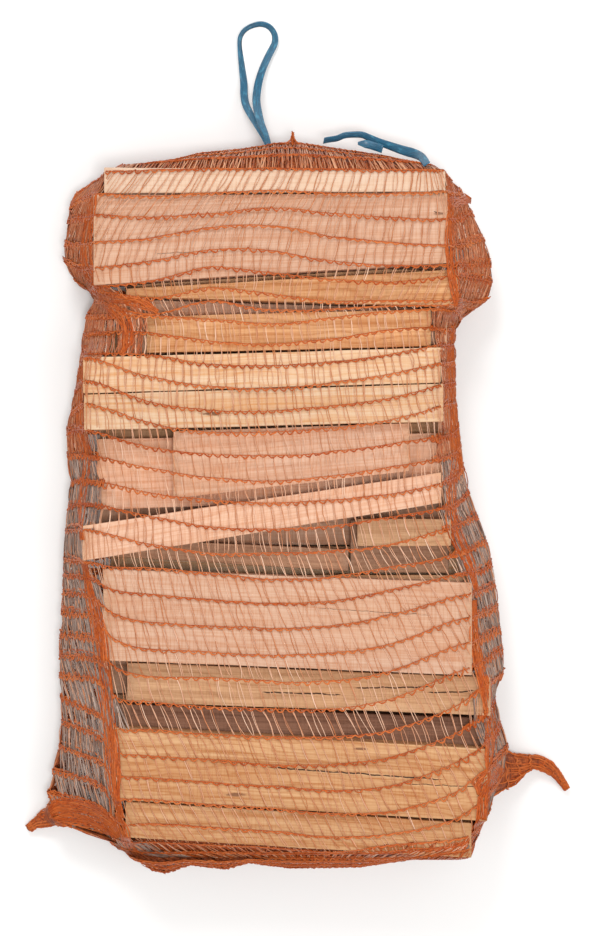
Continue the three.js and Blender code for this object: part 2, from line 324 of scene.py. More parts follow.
def newGroup(name, inputs, outputs):
    group = bpy.data.node_groups.new(name, "ShaderNodeTree")
    for label, kind, value in inputs:
        socket = group.interface.new_socket(name=label, in_out="INPUT", socket_type="NodeSocket" + kind)
        socket.default_value = value
    for label, kind in outputs:
        group.interface.new_socket(name=label, in_out="OUTPUT", socket_type="NodeSocket" + kind)
    given, wanted = group.nodes.new("NodeGroupInput"), group.nodes.new("NodeGroupOutput")
    return group, NodeMaker(group), given.outputs, wanted.inputs


# draw tape: flat woven tape in two loops and a loose tail, lying where the CAD routes lie but for the left loop's head
# light and the pale blue paint a highlight on the tape; they are not the tape's own colour
tapeValues = {"width": 6.0, "thickness": 0.45, "cup": 0.5, "step": 1.4, "lowest": 0.12, "light": 0.38,
              "blue": (0.010, 0.15, 0.27, 1), "deepBlue": (0.004, 0.05, 0.10, 1), "paintedHighlightBlue": (0.10, 0.44, 0.62, 1)}
# the photo's tape is folded sharply at the head of this loop, here it bends as tightly as a limp cord may
leftLoopRoute = [
    (-21.5, 252.5, 47), (-23.6, 260, 46), (-27.2, 267.5, 41), (-31.6, 276.6, 31), (-37.7, 289.5, 17.5),
    (-39.5, 298.9, 9.5), (-39.8, 308, 4), (-41.2, 320, 1.8), (-42.3, 329, 1.4), (-43, 337.4, 1.4), (-42.3, 342.7, 1.4),
    (-39.5, 347.1, 1.4), (-35.4, 349.8, 1.4), (-31.6, 351.2, 1.4), (-27.7, 351.9, 1.4), (-23.1, 350.9, 1.4),
    (-19.3, 348, 1.4), (-17.1, 343.7, 1.4), (-16.9, 339, 1.4), (-17.9, 335.9, 1.5), (-22.2, 327.4, 2.2),
    (-26.3, 317.5, 4), (-29, 307.5, 8), (-30.3, 297, 15.5), (-30.2, 291, 20.5), (-29.1, 284, 27.5), (-26.9, 275, 37),
    (-23.6, 266.6, 45), (-21.5, 260, 49), (-20, 253, 50)]
rightLoopRoute = [
    (18.4, 259.2, 58), (22.6, 260.5, 54), (28.2, 261.8, 51), (33.5, 264, 50), (39.6, 264.6, 50), (46, 264.3, 51),
    (51.4, 261.9, 53), (58.6, 258.3, 57), (66.5, 254.8, 62), (75, 251, 69), (83, 247.6, 77),
    (87.5, 243.6, 88), (90.5, 237.6, 99)]
rightTailRoute = [(42.8, 257, 61), (49, 256.6, 60), (55, 254.8, 61), (60.5, 252.6, 63)]


def tapeMaterial(values):
    material, maker, shader = newMaterial("wovenBlueTape")
    across = maker.attribute("tapeSpace")
    fibres = maker.noise(across, (0.9, 0.03, 0.0), 4.0, 3.2)
    folds = maker.noise(across, (0.25, 0.09, 0.0), 2.0, 1.6)
    tone = maker.mixColor(maker.mapRange(fibres, 0.3, 0.7), values["deepBlue"], values["blue"])
    # painted highlight: light is how much pale blue is laid on in patches where the folds noise is high
    light = maker.times(maker.mapRange(folds, 0.52, 0.72), values["light"])
    maker.put(shader["Base Color"], maker.mixColor(light, tone, values["paintedHighlightBlue"]))
    lines = {"Vector": maker.scaled(across, (1.0, 0.02, 0.0)), "Scale": 0.9, "Distortion": 2.5, "Detail": 2.0}
    weave = maker.add("TexWave", lines).outputs["Fac"]
    maker.put(shader["Normal"], maker.bump(maker.plus(maker.times(weave, 0.5), fibres), 0.5, 0.0002))
    maker.put(shader["Roughness"], maker.mapRange(fibres, 0.2, 0.8, 0.28, 0.5))
    shader["Coat Weight"].default_value = 0.35
    shader["Coat Roughness"].default_value = 0.25
    return material


def makeTape(name, route, tilts, widths, values, material):
    centre, length = smoothRoute(route, values["step"])
    count = len(centre)
    fraction = np.linspace(0, 1, count)
    tangent = unit(np.gradient(centre, axis=0))
    side = unit(np.cross([0, 0, 1.0], tangent))
    face = np.cross(tangent, side)
    tilt = np.radians(np.interp(fraction, *zip(*tilts)))[:, None]
    side, face = side * np.cos(tilt) + face * np.sin(tilt), face * np.cos(tilt) - side * np.sin(tilt)
    width = np.interp(fraction, *zip(*widths))[:, None] * values["width"]
    # the tape's section: places across it and over it, its edges a little rounded, its middle cupped
    across = np.array([-0.5, -0.3, 0.0, 0.3, 0.5, 0.5, 0.3, 0.0, -0.3, -0.5])
    over = np.array([0, 1, 1, 1, 0, 0, -1, -1, -1, 0]) * values["thickness"] / 2
    over = over + np.array([0.06, 0, 0, 0, 0.06, -0.06, 0, 0, 0, -0.06])
    rings = []
    for k in range(len(across)):
        lift = over[k] + values["cup"] * (0.25 - across[k] ** 2) * 1.6
        rings.append(centre + side * width * across[k] + face * lift)
    points = np.stack(rings, axis=1)
    points[..., 2] = np.maximum(points[..., 2], values["lowest"])
    piece = meshPiece(name, points.reshape(-1, 3), tubeQuads(1, count, len(across)), material)
    run = np.repeat(fraction * length, len(across))
    wide = np.tile(across * values["width"], count)
    addAttribute(piece, "tapeSpace", np.stack([wide, run, np.zeros(len(run))], axis=1))
    fixNormals(piece)
    print("tape", name, "length", round(length, 1))
    return piece, [tuple(p * mm) for p in points.mean(axis=1)], length * mm


def fixNormals(piece):
    work = bmesh.new()
    work.from_mesh(piece.data)
    bmesh.ops.recalc_face_normals(work, faces=work.faces)
    if work.calc_volume(signed=True) < 0:
        bmesh.ops.reverse_faces(work, faces=work.faces)
    work.to_mesh(piece.data)
    work.free()
    piece.data.update()


tapeFinish = tapeMaterial(tapeValues)
# for each tape its CAD node and route, then (share of the length, tilt in degrees) and (share, share of the width)
tapePlans = {
    "tapeLeftLoop": (
        "draw_tape_left_loop", leftLoopRoute,
        [(0, 55), (0.12, 30), (0.22, 12), (0.3, 25), (0.4, 58), (0.47, 62), (0.55, 50), (0.6, 30), (0.68, 25),
         (1, -35)],
        [(0, 0.6), (0.15, 0.95), (0.5, 1), (0.85, 1), (1, 0.6)]),
    "tapeRightLoop": (
        "draw_tape_right_loop", rightLoopRoute,
        [(0, 40), (0.3, 30), (0.6, 15), (1, 10)], [(0, 0.8), (0.4, 0.85), (0.7, 1.15), (1, 0.9)]),
    "tapeRightTail": (
        "draw_tape_right_tail", rightTailRoute, [(0, 10), (1, 20)], [(0, 0.35), (0.3, 1), (1, 1)]),
}
tapes = {}
for name, (node, route, tilts, widths) in tapePlans.items():
    tapes[name] = makeTape(name, route, tilts, widths, tapeValues, tapeFinish)
    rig.replaces(tapes[name][0], node)
    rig.ride(tapes[name][0], "root")
    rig.slot(tapes[name][0], "blue_tape")
for name, extras in (("tapeLeftLoop", []), ("tapeRightLoop", [tapes["tapeRightTail"][0]])):
    tape, tapePath, tapeLength = tapes[name]
    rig.cord(tape, exit=tapePath[0], length=round(tapeLength, 3), diameter=tapeValues["width"] * mm, far_end="object",
            stiffness="limp", lay="loose", path=tapePath, with_pieces=extras)
print("draw tape laid")

# sawn sticks: each row is left x, low y, high y, right x, low y, high y, low z, high z, wood
stickValues = {"cutsAlong": 26, "cutsAcross": 3, "edgeBevel": 0.7, "wobble": 0.22, "layerGap": 1.2, "endDepth": 1.5,
               "bevelAngle": 45, "smoothAngle": 35}
stickRows = {
    "stick_front_01": (-135.7, 217.4, 235.3, 103.3, 218.6, 232.8, 55, 101, "pink"),
    "stick_front_02": (-143.2, 153.2, 216.4, 104.5, 168.6, 217.7, 73.5, 99, "pink"),
    "stick_front_03": (-120.8, 145.4, 151.1, 112.2, 138.3, 164.8, 75, 93, "yellow"),
    "stick_front_04": (-106.7, 106, 131.7, 93.8, 110.7, 137, 73, 88, "yellow"),
    "stick_front_05": (-150.3, 77.3, 102.2, 100, 84.9, 109.3, 53, 102, "yellow"),
    "stick_front_06": (-149.7, 51.4, 76.5, 101.8, 57.5, 84.1, 53, 101, "yellow"),
    "stick_front_07": (-87.7, 3.2, 51, 78.4, 22.9, 56.4, 75, 93, "pink"),
    "stick_front_08": (-150.5, -40.1, -15.6, 100.4, 0.5, 21.8, 76, 101, "pink"),
    "stick_front_09": (-136.2, -109.5, -45.6, 121.8, -120.1, -55.4, 76, 102, "pink"),
    "stick_front_10": (-120.3, -139.8, -112, 135.7, -149.3, -122.5, 53, 89, "tan"),
    "stick_front_11": (-128.1, -207, -156.9, 132.5, -222.3, -171.6, 77, 101.5, "yellow"),
    "stick_front_12": (-120.7, -233.7, -208.5, 121.6, -248.1, -223.6, 53, 100, "yellow"),
    "stick_middle_01": (-138, 168, 214, 99, 170, 216, 53, 72.5, "tan"),
    "stick_middle_02": (-116, 147, 166, 104, 147, 166, 53, 72.5, "tan"),
    "stick_middle_03": (-125, 105.3, 144.8, 105.9, 111.7, 138, 53, 72, "pink"),
    "stick_middle_04": (-142.6, -4.8, 45.6, 104.4, 4.4, 49.8, 53, 74, "pink"),
    "stick_middle_05": (-140, -37.5, -24, 35.9, -48.1, -33, 53, 74, "grey"),
    "stick_middle_06": (37.3, -48.8, -11.9, 107.2, -49.5, -14.7, 53, 73.5, "grey"),
    "stick_middle_07": (41.7, -30, -10.9, 107.9, -30, -10.9, 75, 88, "tan"),
    "stick_middle_08": (-130, -78, -51, 117, -78, -51, 53, 75, "tan"),
    "stick_middle_09": (-128, -108, -80, 112, -109, -80, 53, 75, "yellow"),
    "stick_middle_10": (-126.1, -171.4, -142.3, 136.2, -182, -152.6, 53, 76, "brown"),
    "stick_middle_11": (-122, -205, -174, 120, -219, -184.5, 53, 75.5, "tan"),
}
layerValues = {
    "stick_lower": {"start": -233, "heights": (28, 52), "rows": [
        (54, -118, 120, "yellow"), (40, -132, 118, "tan"), (60, -136, 116, "pink"), (44, -128, 122, "yellow"),
        (56, -142, 106, "pink"), (46, -138, 102, "tan"), (52, -136, 104, "yellow"), (36, -124, 104, "pink"),
        (58, -134, 104, "pink")]},
    "stick_back": {"start": -236, "heights": (2.4, 27), "rows": [
        (44, -112, 114, "tan"), (58, -130, 124, "pink"), (38, -134, 125, "yellow"), (62, -136, 120, "yellow"),
        (48, -132, 108, "pink"), (60, -144, 100, "tan"), (40, -138, 98, "yellow"), (50, -120, 97, "pink"),
        (54, -130, 96, "yellow")]},
}
for prefix, layer in layerValues.items():
    low = layer["start"]
    for i, (width, leftX, rightX, wood) in enumerate(layer["rows"]):
        ends = (leftX, low, low + width, rightX, low, low + width)
        stickRows[f"{prefix}_{i + 1:02d}"] = (*ends, *layer["heights"], wood)
        low += width + stickValues["layerGap"]

# cracks along a stick: start x and y, end x and y, half width, all in millimetres
crackRows = {
    "stick_front_10": [(-26.7, -132.7, 31.8, -134.8, 0.42), (38.8, -129.9, 94.5, -129.2, 0.4),
                       (91, -133.4, 124.7, -132, 0.4)],
    "stick_front_11": [(-23.7, -184.2, 104.3, -193.3, 0.42), (75, -196.1, 133, -198.2, 0.22)],
    "stick_front_02": [(95, 204.5, 103.5, 203.2, 0.5), (98, 199.5, 104.5, 199, 0.35), (-104, 175, -50, 177, 0.12)],
    "stick_front_09": [(10, -73, 96, -78, 0.12)],
}
# knots: x, y and half width, each five times as long as it is wide
knotRows = {"stick_front_11": [(-43.5, -203.5, 1.6), (44, -171.5, 1.1)],
            "stick_front_02": [(99.5, 203, 1.0)],
            "stick_front_06": [(-60, 63, 1.6)]}
# every stick carries three cracks and two knots, and those that it hasn't got lie far away from it
crackLabels, knotLabels = "ABC", "AB"
noCrack, noKnot = (900, 900, 901, 900, 0.1), (900, 900, 0.5)


# grain shared by every sawn face: streaks along the stick, saw lines across it, cracks painted near black as painted
# shade inside them, and knots
def makeGrainGroup():
    group, maker, given, put = newGroup("sawnGrain", [
        ("Light", "Color", (0.72, 0.46, 0.3, 1)), ("Dark", "Color", (0.55, 0.3, 0.17, 1)),
        ("End", "Color", (0.6, 0.36, 0.2, 1)), ("Streak", "Float", 0.5), ("Saw", "Float", 0.3)],
        [("Color", "Color"), ("Roughness", "Float"), ("Height", "Float")])
    plus, times, calculate, mixColor = maker.plus, maker.times, maker.math, maker.mixColor
    noise, mapRange, split = maker.noise, maker.mapRange, maker.split
    space = maker.attribute("woodSpace")
    x, y, z = split(space)
    endMask, toneAndLight = maker.attribute("endGrain", "Fac"), maker.attribute("stickToneAndLight", "Fac")
    warp = noise(space, (0.012, 0.05, 0.05), 2.0)
    fibres = noise(space, (0.02, 1.1, 1.1), 5.0, Roughness=0.65)
    streaks = noise(space, (0.006, 0.22, 0.22), 4.0, Distortion=0.6)
    # growth lines bend slowly as they run along the face
    across = plus(plus(y, times(warp, 26.0)), times(z, 0.55))
    growth = mapRange(calculate("SINE", times(across, 1.15)), 0.25, 1.0)
    saw = noise(space, (0.75, 0.03, 0.03), 2.0, Roughness=0.7)
    # the blade leaves ridges about 2.7 mm apart, clearer in some patches than in others
    ridge = calculate("SINE", plus(times(x, 2.3), times(warp, 9.0)))
    patches = noise(space, (0.03, 0.06, 0.06), 1.0)
    ridges = times(mapRange(ridge, 0.35, 1.0), mapRange(patches, 0.4, 0.62, 0.25, 1.0))
    sawLines = plus(times(mapRange(saw, 0.5, 0.75), 0.6), times(ridges, 0.55))
    blotch = noise(space, (0.018, 0.04, 0.04), 3.0)
    fuzz = noise(space, (0.5, 0.9, 0.9), 4.0)
    dark = plus(times(mapRange(streaks, 0.38, 0.7), given["Streak"]), times(growth, times(given["Streak"], 0.55)))
    dark = plus(dark, times(mapRange(fibres, 0.42, 0.68), 0.42))
    dark = plus(dark, times(sawLines, given["Saw"]), clamp=True)
    color = mixColor(dark, given["Light"], given["Dark"])
    color = mixColor(mapRange(blotch, 0.35, 0.7, 0.0, 0.35), color, (1.0, 0.86, 0.7, 1), "MULTIPLY")
    # end grain shows arcs of growth rings round a heart outside the stick
    radius = maker.hypot(plus(y, 22.0), plus(z, 30.0))
    rings = calculate("SINE", plus(times(radius, 2.4), times(fuzz, 2.0)))
    endColor = mixColor(mapRange(rings, 0.1, 0.95, 0.0, 0.55), given["End"], given["Dark"])
    endColor = mixColor(mapRange(fuzz, 0.4, 0.7, 0.0, 0.4), endColor, (0.5, 0.36, 0.28, 1), "MULTIPLY")
    color = mixColor(endMask, color, endColor)
    # each stick's own tone, and for some set-back sticks painted light, multiplies the colour
    bright = maker.add("CombineColor", {"Red": toneAndLight, "Green": toneAndLight, "Blue": toneAndLight}).outputs[0]
    color = mixColor(1.0, color, bright, "MULTIPLY")
    wander = noise(space, (0.09, 0.0, 0.0), 3.0)
    broken = noise(space, (0.16, 0.1, 0.0), 2.0)
    hereX, hereY, _ = split(maker.attribute("facePlace"))
    masks = []
    for label in crackLabels:
        middleX, middleY, slope = split(maker.attribute("crackPlace" + label))
        reach, width, _ = split(maker.attribute("crackForm" + label))
        run = calculate("SUBTRACT", hereX, middleX)
        line = plus(middleY, times(run, slope))
        line = plus(line, times(calculate("SUBTRACT", wander, 0.5), 3.0))
        off = calculate("ABSOLUTE", calculate("SUBTRACT", hereY, line))
        ends = mapRange(calculate("ABSOLUTE", run), times(reach, 0.8), reach, 1.0, 0.0)
        half = times(times(width, ends), mapRange(broken, 0.3, 0.5, 0.55, 1.1))
        mask = mapRange(off, times(half, 0.5), plus(times(half, 1.6), 0.001), 1.0, 0.0)
        masks.append(times(mask, mapRange(half, 0.02, 0.12)))
    crackDepthAndShade = calculate("MAXIMUM", calculate("MAXIMUM", masks[0], masks[1]), masks[2])
    knots = []
    for label in knotLabels:
        middleX, middleY, width = split(maker.attribute("knot" + label))
        alongKnot = calculate("DIVIDE", calculate("SUBTRACT", hereX, middleX), times(width, 5.0))
        acrossKnot = calculate("DIVIDE", calculate("SUBTRACT", hereY, middleY), width)
        far = plus(maker.hypot(alongKnot, acrossKnot), times(fuzz, 0.8))
        knots.append(mapRange(far, 0.9, 1.5, 0.85, 0.0))
    knot = calculate("MAXIMUM", knots[0], knots[1])
    flat = calculate("SUBTRACT", 1.0, endMask)
    crackDepthAndShade = times(crackDepthAndShade, flat)
    color = mixColor(times(knot, flat), color, (0.16, 0.06, 0.025, 1))
    # painted shade: the inside of each crack is coloured near black
    color = mixColor(times(crackDepthAndShade, 0.96), color, (0.03, 0.01, 0.005, 1))
    maker.put(put["Color"], color)
    maker.put(put["Roughness"], mapRange(fibres, 0.3, 0.7, 0.62, 0.86))
    height = plus(times(fibres, 0.5), times(sawLines, -0.4))
    height = plus(height, times(fuzz, 0.3))
    maker.put(put["Height"], calculate("SUBTRACT", height, times(crackDepthAndShade, 2.5)))
    return group


# woods: colours of the light wood, the dark streaks and the end grain, and how strong the streaks and saw marks are
woodValues = {
    "pink": ((0.585, 0.375, 0.262), (0.47, 0.215, 0.115), (0.52, 0.30, 0.18), 0.35, 0.6),
    "yellow": ((0.60, 0.43, 0.285), (0.52, 0.25, 0.10), (0.55, 0.32, 0.17), 0.5, 0.3),
    "amber": ((0.62, 0.36, 0.18), (0.43, 0.175, 0.06), (0.48, 0.26, 0.12), 0.6, 0.3),
    "pale": ((0.61, 0.46, 0.35), (0.52, 0.32, 0.205), (0.55, 0.36, 0.24), 0.3, 0.5),
    "tan": ((0.62, 0.365, 0.20), (0.41, 0.205, 0.095), (0.48, 0.28, 0.16), 0.5, 0.35),
    "grey": ((0.40, 0.225, 0.135), (0.26, 0.13, 0.075), (0.34, 0.2, 0.13), 0.5, 0.4),
    "brown": ((0.28, 0.135, 0.08), (0.16, 0.07, 0.04), (0.25, 0.14, 0.08), 0.5, 0.4),
}
# brightness of single sticks beside their wood's usual one; the set-back sticks middle_01 and middle_02 are made
# brighter as painted light in the deep gap under stick_front_02
stickTonesAndLight = {
    "stick_front_01": 1.1, "stick_front_02": 1.04, "stick_front_03": 1.12, "stick_front_04": 1.22,
    "stick_front_05": 1.12, "stick_front_06": 1.06, "stick_front_07": 1.16, "stick_front_08": 1.2,
    "stick_front_09": 1.0, "stick_front_11": 0.94, "stick_front_12": 0.91, "stick_middle_01": 1.5,
    "stick_middle_02": 1.5, "stick_middle_03": 1.08, "stick_middle_04": 1.36, "stick_middle_05": 1.25,
    "stick_middle_06": 0.98, "stick_middle_07": 0.95, "stick_middle_10": 0.95}
# sticks that look different from the wood their slot names
specialWoods = {"stick_front_01": "pale", "stick_front_03": "amber", "stick_front_04": "amber",
                "stick_front_11": "amber", "stick_front_12": "amber"}


def woodMaterial(name, grain, values):
    material, maker, shader = newMaterial(name + "SawnWood")
    light, dark, end, streak, saw = values
    inputs = {"Light": (*light, 1), "Dark": (*dark, 1), "End": (*end, 1), "Streak": streak, "Saw": saw}
    pattern = maker.add("Group", inputs, node_tree=grain).outputs
    maker.put(shader["Base Color"], pattern["Color"])
    maker.put(shader["Roughness"], pattern["Roughness"])
    maker.put(shader["Normal"], maker.bump(pattern["Height"], 0.55, 0.00035))
    shader["Specular IOR Level"].default_value = 0.3
    return material


def makeStick(name, row, number, values, material):
    leftX, leftLow, leftHigh, rightX, rightLow, rightHigh, low, high, wood = row
    rng = np.random.default_rng(100 + number)
    bpy.ops.object.select_all(action="DESELECT")
    centre = ((leftX + rightX) / 2 * mm, (leftLow + rightHigh) / 2 * mm, (low + high) / 2 * mm)
    bpy.ops.mesh.primitive_cube_add(size=1, location=centre)
    stick = bpy.context.object
    stick.name = name + "Sawn"
    stick.scale = ((rightX - leftX) * mm, (leftHigh - leftLow) * mm, (high - low) * mm)
    bpy.ops.object.transform_apply(location=True, rotation=False, scale=True)
    for vertex in stick.data.vertices:  # the saw ran a little out of square, so each end has its own width
        left = vertex.co.x < centre[0]
        top = vertex.co.y > centre[1]
        vertex.co.y = mm * ((leftHigh if top else leftLow) if left else (rightHigh if top else rightLow))
    for along, cuts in ((True, values["cutsAlong"]), (False, values["cutsAcross"])):
        bpy.ops.object.mode_set(mode="EDIT")
        bpy.ops.mesh.select_mode(type="EDGE")
        bpy.ops.mesh.select_all(action="DESELECT")
        bpy.ops.object.mode_set(mode="OBJECT")
        for edge in stick.data.edges:
            a, b = (stick.data.vertices[i].co for i in edge.vertices)
            lengthwise = abs(a.x - b.x) > 0.5 * (a - b).length
            edge.select = lengthwise == along
        bpy.ops.object.mode_set(mode="EDIT")
        bpy.ops.mesh.subdivide(number_cuts=cuts)
        bpy.ops.object.mode_set(mode="OBJECT")
    points = readPoints(stick)
    waves = rng.uniform(0, 6.28, 6)
    amount = values["wobble"] * mm
    x = points[:, 0] / mm
    sideWave = 0.6 * np.sin(x / 31 + waves[0]) + 0.4 * np.sin(x / 9 + waves[1])
    points[:, 1] += amount * sideWave * np.sign(points[:, 1] - centre[1])
    faceWave = 0.6 * np.sin(x / 37 + waves[2]) + 0.4 * np.sin(points[:, 1] / mm / 8 + waves[3])
    points[:, 2] += np.minimum(0, amount * faceWave - amount * 0.6)
    stick.data.vertices.foreach_set("co", points.ravel())
    stick.data.update()
    bevel = stick.modifiers.new("sawnEdges", "BEVEL")
    bevel.width = values["edgeBevel"] * mm * rng.uniform(0.7, 1.3)
    bevel.segments = 2
    bevel.limit_method = "ANGLE"
    bevel.angle_limit = math.radians(values["bevelAngle"])
    bpy.ops.object.modifier_apply(modifier=bevel.name)
    bpy.ops.object.shade_smooth_by_angle(angle=math.radians(values["smoothAngle"]))
    stick.data.materials.clear()
    stick.data.materials.append(material)
    points = readPoints(stick) / mm
    count = len(points)
    slope = ((rightLow + rightHigh) - (leftLow + leftHigh)) / 2 / (rightX - leftX)
    level = points[:, 1] - (points[:, 0] - leftX) * slope
    shift = rng.uniform(-400, 400, 3) * (1, 0.15, 0.15)  # each stick is cut from another place of the wood
    addAttribute(stick, "woodSpace", np.stack([points[:, 0], level, points[:, 2]], axis=1) + shift)
    addAttribute(stick, "facePlace", points)
    fromEnd = np.minimum(points[:, 0] - leftX, rightX - points[:, 0])
    addAttribute(stick, "endGrain", np.clip(values["endDepth"] - fromEnd, 0, 1))
    addAttribute(stick, "stickToneAndLight", np.full(count, stickTonesAndLight.get(name, rng.uniform(0.85, 1.02))))
    cracks = crackRows.get(name, []) + [noCrack] * len(crackLabels)
    for label, (x0, y0, x1, y1, width) in zip(crackLabels, cracks):
        place = [(x0 + x1) / 2, (y0 + y1) / 2, (y1 - y0) / (x1 - x0)]
        addAttribute(stick, "crackPlace" + label, np.tile(place, (count, 1)))
        addAttribute(stick, "crackForm" + label, np.tile([(x1 - x0) / 2, width, 0], (count, 1)))
    for label, spot in zip(knotLabels, knotRows.get(name, []) + [noKnot] * len(knotLabels)):
        addAttribute(stick, "knot" + label, np.tile(spot, (count, 1)))
    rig.replaces(stick, name)
    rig.ride(stick, "root")
    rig.slot(stick, wood + "_wood")


grainGroup = makeGrainGroup()
woods = {name: woodMaterial(name, grainGroup, values) for name, values in woodValues.items()}
for number, (name, row) in enumerate(stickRows.items()):
    makeStick(name, row, number, stickValues, woods[specialWoods.get(name, row[8])])
print("sawn sticks stacked", len(stickRows))


# knitted net: a stretched skin over the sticks gives its height, and threads are laid on it
netValues = {"rim": 40.0, "floor": 0.9, "top": 103.0, "sideTop": 97.0, "scallops": 58, "steps": 6, "lift": 0.65,
             "scallop": 1.2, "cord": 0.64, "straight": 0.42, "edgeRoom": 6, "rowEnds": (-266, 252)}
# the skin is a height at each cell of a grid, let down in many rounds until it is tight between the sticks
skinValues = {"cell": 2.0, "x": (-200, 200), "y": (-272, 274), "closed": 268, "rounds": 2600, "pull": 0.986,
              "above": 0.25, "past": 0.5, "pastTop": 3.0, "lying": (-254, 238)}
scallops, steps = netValues["scallops"], netValues["steps"]
half = scallops * steps  # pieces of thread in half of a row's loop
# the bag's outline: y, left x, right x
silhouetteRows = [
    (-268, -106, 112), (-264, -116, 120), (-256, -126, 126), (-250, -129, 127), (-243, -135, 128), (-238, -150, 131),
    (-233, -167, 133), (-227, -178, 135), (-219, -182, 138), (-206, -180, 143), (-190, -176, 150), (-180, -173, 152),
    (-164, -170, 148), (-146, -171, 141), (-128, -172, 144),
    (-121, -172, 149), (-100, -172, 147), (-58, -169, 142), (-45, -169, 140), (-24, -168, 135), (2, -165, 125),
    (18, -163, 120), (44, -168, 117), (72, -162, 114), (100, -157, 113), (116, -155, 112), (130, -154, 114),
    (138, -151, 124), (146, -146, 136), (154, -151, 139), (165, -167, 141), (183, -169, 137), (203, -166, 129),
    (210, -165, 125.5), (216, -164, 128), (221, -161, 125), (228, -151, 114), (236, -141, 108),
    (239, -139, 106), (243, -118, 90), (249, -64, 62),
    (254, -38, 34), (258, -18, 13), (268, -12, 8)]
outline = np.array(silhouetteRows, dtype=float)

# heights of each knitted row in the picture, left edge, seven columns, an extra one near the right, right edge
rowHeights = [
    (200, 182, 170.5, 168.8, 168.3, 168.8, 170, 172, 176, 179),
    (207, 197, 196, 193, 190.5, 193, 194, 192, 191, 190), (220, 216, 217, 213.5, 208, 213, 217.5, 219, 216, 212),
    (242, 243, 238, 227.5, 225.5, 236, 242, 245, 242, 238), (262, 269, 261, 250, 250.5, 261, 265, 265, 263, 262),
    (280, 290, 281, 267, 273, 279, 282, 276, 279, 282), (290, 298, 298, 288, 294, 301, 300.5, 300, 300, 300),
    (300, 305, 314, 301, 310, 309, 306, 305, 306, 308), (316, 318, 316, 319, 324, 318, 311, 309, 313, 318),
    (334, 335, 333, 341, 344, 339, 330, 321, 325, 330), (352, 354, 355, 364, 366, 362, 354.5, 348, 346, 345),
    (372, 358, 377, 386, 388.5, 383, 374, 367, 364, 362), (392, 381, 402, 410, 411, 406, 398, 392, 387, 382),
    (412, 404, 423, 432, 432, 428, 420, 413, 407, 402), (432, 430, 447, 454, 455.5, 452, 444, 434, 428, 422),
    (455, 455, 468, 477.5, 481, 476, 467.5, 455, 448, 442), (482, 480, 493, 500, 503, 500, 494, 480, 473, 466),
    (506, 504, 516, 526.5, 529, 526, 517, 505, 497, 490), (530, 530, 544, 553, 553, 551, 544.5, 527, 521, 515),
    (558, 563, 568, 573, 579, 577, 567, 556, 548, 540), (574, 583, 594, 599.5, 603, 601, 590, 576, 570, 562),
    (592, 606, 622, 626, 628, 626, 615, 598, 591, 584), (612, 628, 649, 652, 655, 653, 644, 622, 614, 606),
    (634, 652, 676, 677.5, 681, 681, 671, 648, 638, 628), (655, 680, 702, 706.5, 709, 709, 699, 675, 662, 648),
    (675, 715, 729.5, 734, 736.5, 737, 730, 709, 690, 672), (697, 744, 755.5, 759.5, 764.5, 764.5, 757, 736, 718, 697),
    (720, 768, 777.5, 782, 786, 790, 786, 765, 749, 722), (745, 790, 799.5, 804, 808, 813.5, 811, 795, 774, 748),
    (770, 815, 823, 826.5, 831, 836, 834, 821, 803, 775), (793, 834, 841, 844, 847, 851, 845, 840, 826, 800),
    (818, 846, 852, 852, 853, 853, 852, 847, 838, 820), (838, 854, 858, 858, 858, 858, 858, 853, 846, 836)]
rowColumns = (90, 150, 210, 270, 330, 390, 450, 480)
# at the lower left a row runs level round the side and drops at the ends of the sticks: heights before and after,
# the drop ending at this column
dropColumn = 115
rowDrops = {19: (562, 567), 20: (577, 590), 21: (596, 614), 22: (617, 639), 23: (640, 667), 24: (661, 696),
            25: (682, 725),
            26: (718, 751), 27: (740, 773), 28: (764, 795), 29: (788, 819), 30: (810, 838)}
# how far the foot of each tie lies to the right of its head, in millimetres
rowLeans = [-5.7, -5, -3.8, -2.5, -1.2, -0.6] + [0.6] * 6 + [2.2] * 6 + [5.0] * 6 + [7.0] + [5.4] * 8


def shownPlace(px, py, z):
    # where a pixel of the photo lies on the bag at height z
    wide, high = cameraValues["picture"]
    scale = cameraValues["shownWidth"] / mm / wide * (1 - np.asarray(z) * mm / cameraValues["height"])
    x = (np.asarray(px) - wide / 2) * scale + cameraValues["x"] / mm
    return x, (high / 2 - np.asarray(py)) * scale + cameraValues["y"] / mm


def edgeX(y, side):
    return np.interp(y, outline[:, 0], outline[:, 1 if side == "left" else 2])


def overStick(row, x, y, below=0.0, above=0.0):
    # whether a place lies over a stick, seen from the front
    leftX, leftLow, leftHigh, rightX, rightLow, rightHigh = row[:6]
    t = (x - leftX) / (rightX - leftX)
    low, high = leftLow + t * (rightLow - leftLow) - below, leftHigh + t * (rightHigh - leftHigh) + above
    return (t >= 0) & (t <= 1) & (y >= low) & (y <= high)


def stretchSkin(values, rim):
    xs, ys = (np.arange(values[way][0], values[way][1] + values["cell"], values["cell"]) for way in "xy")
    gridX, gridY = np.meshgrid(xs, ys)
    inside = (gridX > edgeX(gridY, "left")) & (gridX < edgeX(gridY, "right")) & (np.abs(gridY) < values["closed"])
    floor = np.full(gridX.shape, rim)
    for name, row in stickRows.items():
        # the last row lies along the edge of the top stick
        past = values["pastTop"] if name == "stick_front_01" else values["past"]
        covered = overStick(row, gridX, gridY, values["past"], past)
        floor[covered] = np.maximum(floor[covered], row[7] + values["above"])
    height = floor.copy()
    inner = height[1:-1, 1:-1]
    for _ in range(values["rounds"]):
        around = (height[:-2, 1:-1] + height[2:, 1:-1] + height[1:-1, :-2] + height[1:-1, 2:]) / 4
        fresh = np.maximum(inner + values["pull"] * (around - inner), floor[1:-1, 1:-1])
        inner[:] = np.where(inside[1:-1, 1:-1], fresh, rim)
    return xs, ys, height


skinX, skinY, skinHeight = stretchSkin(skinValues, netValues["rim"])
print("net skin stretched, highest", round(float(skinHeight.max()), 1))


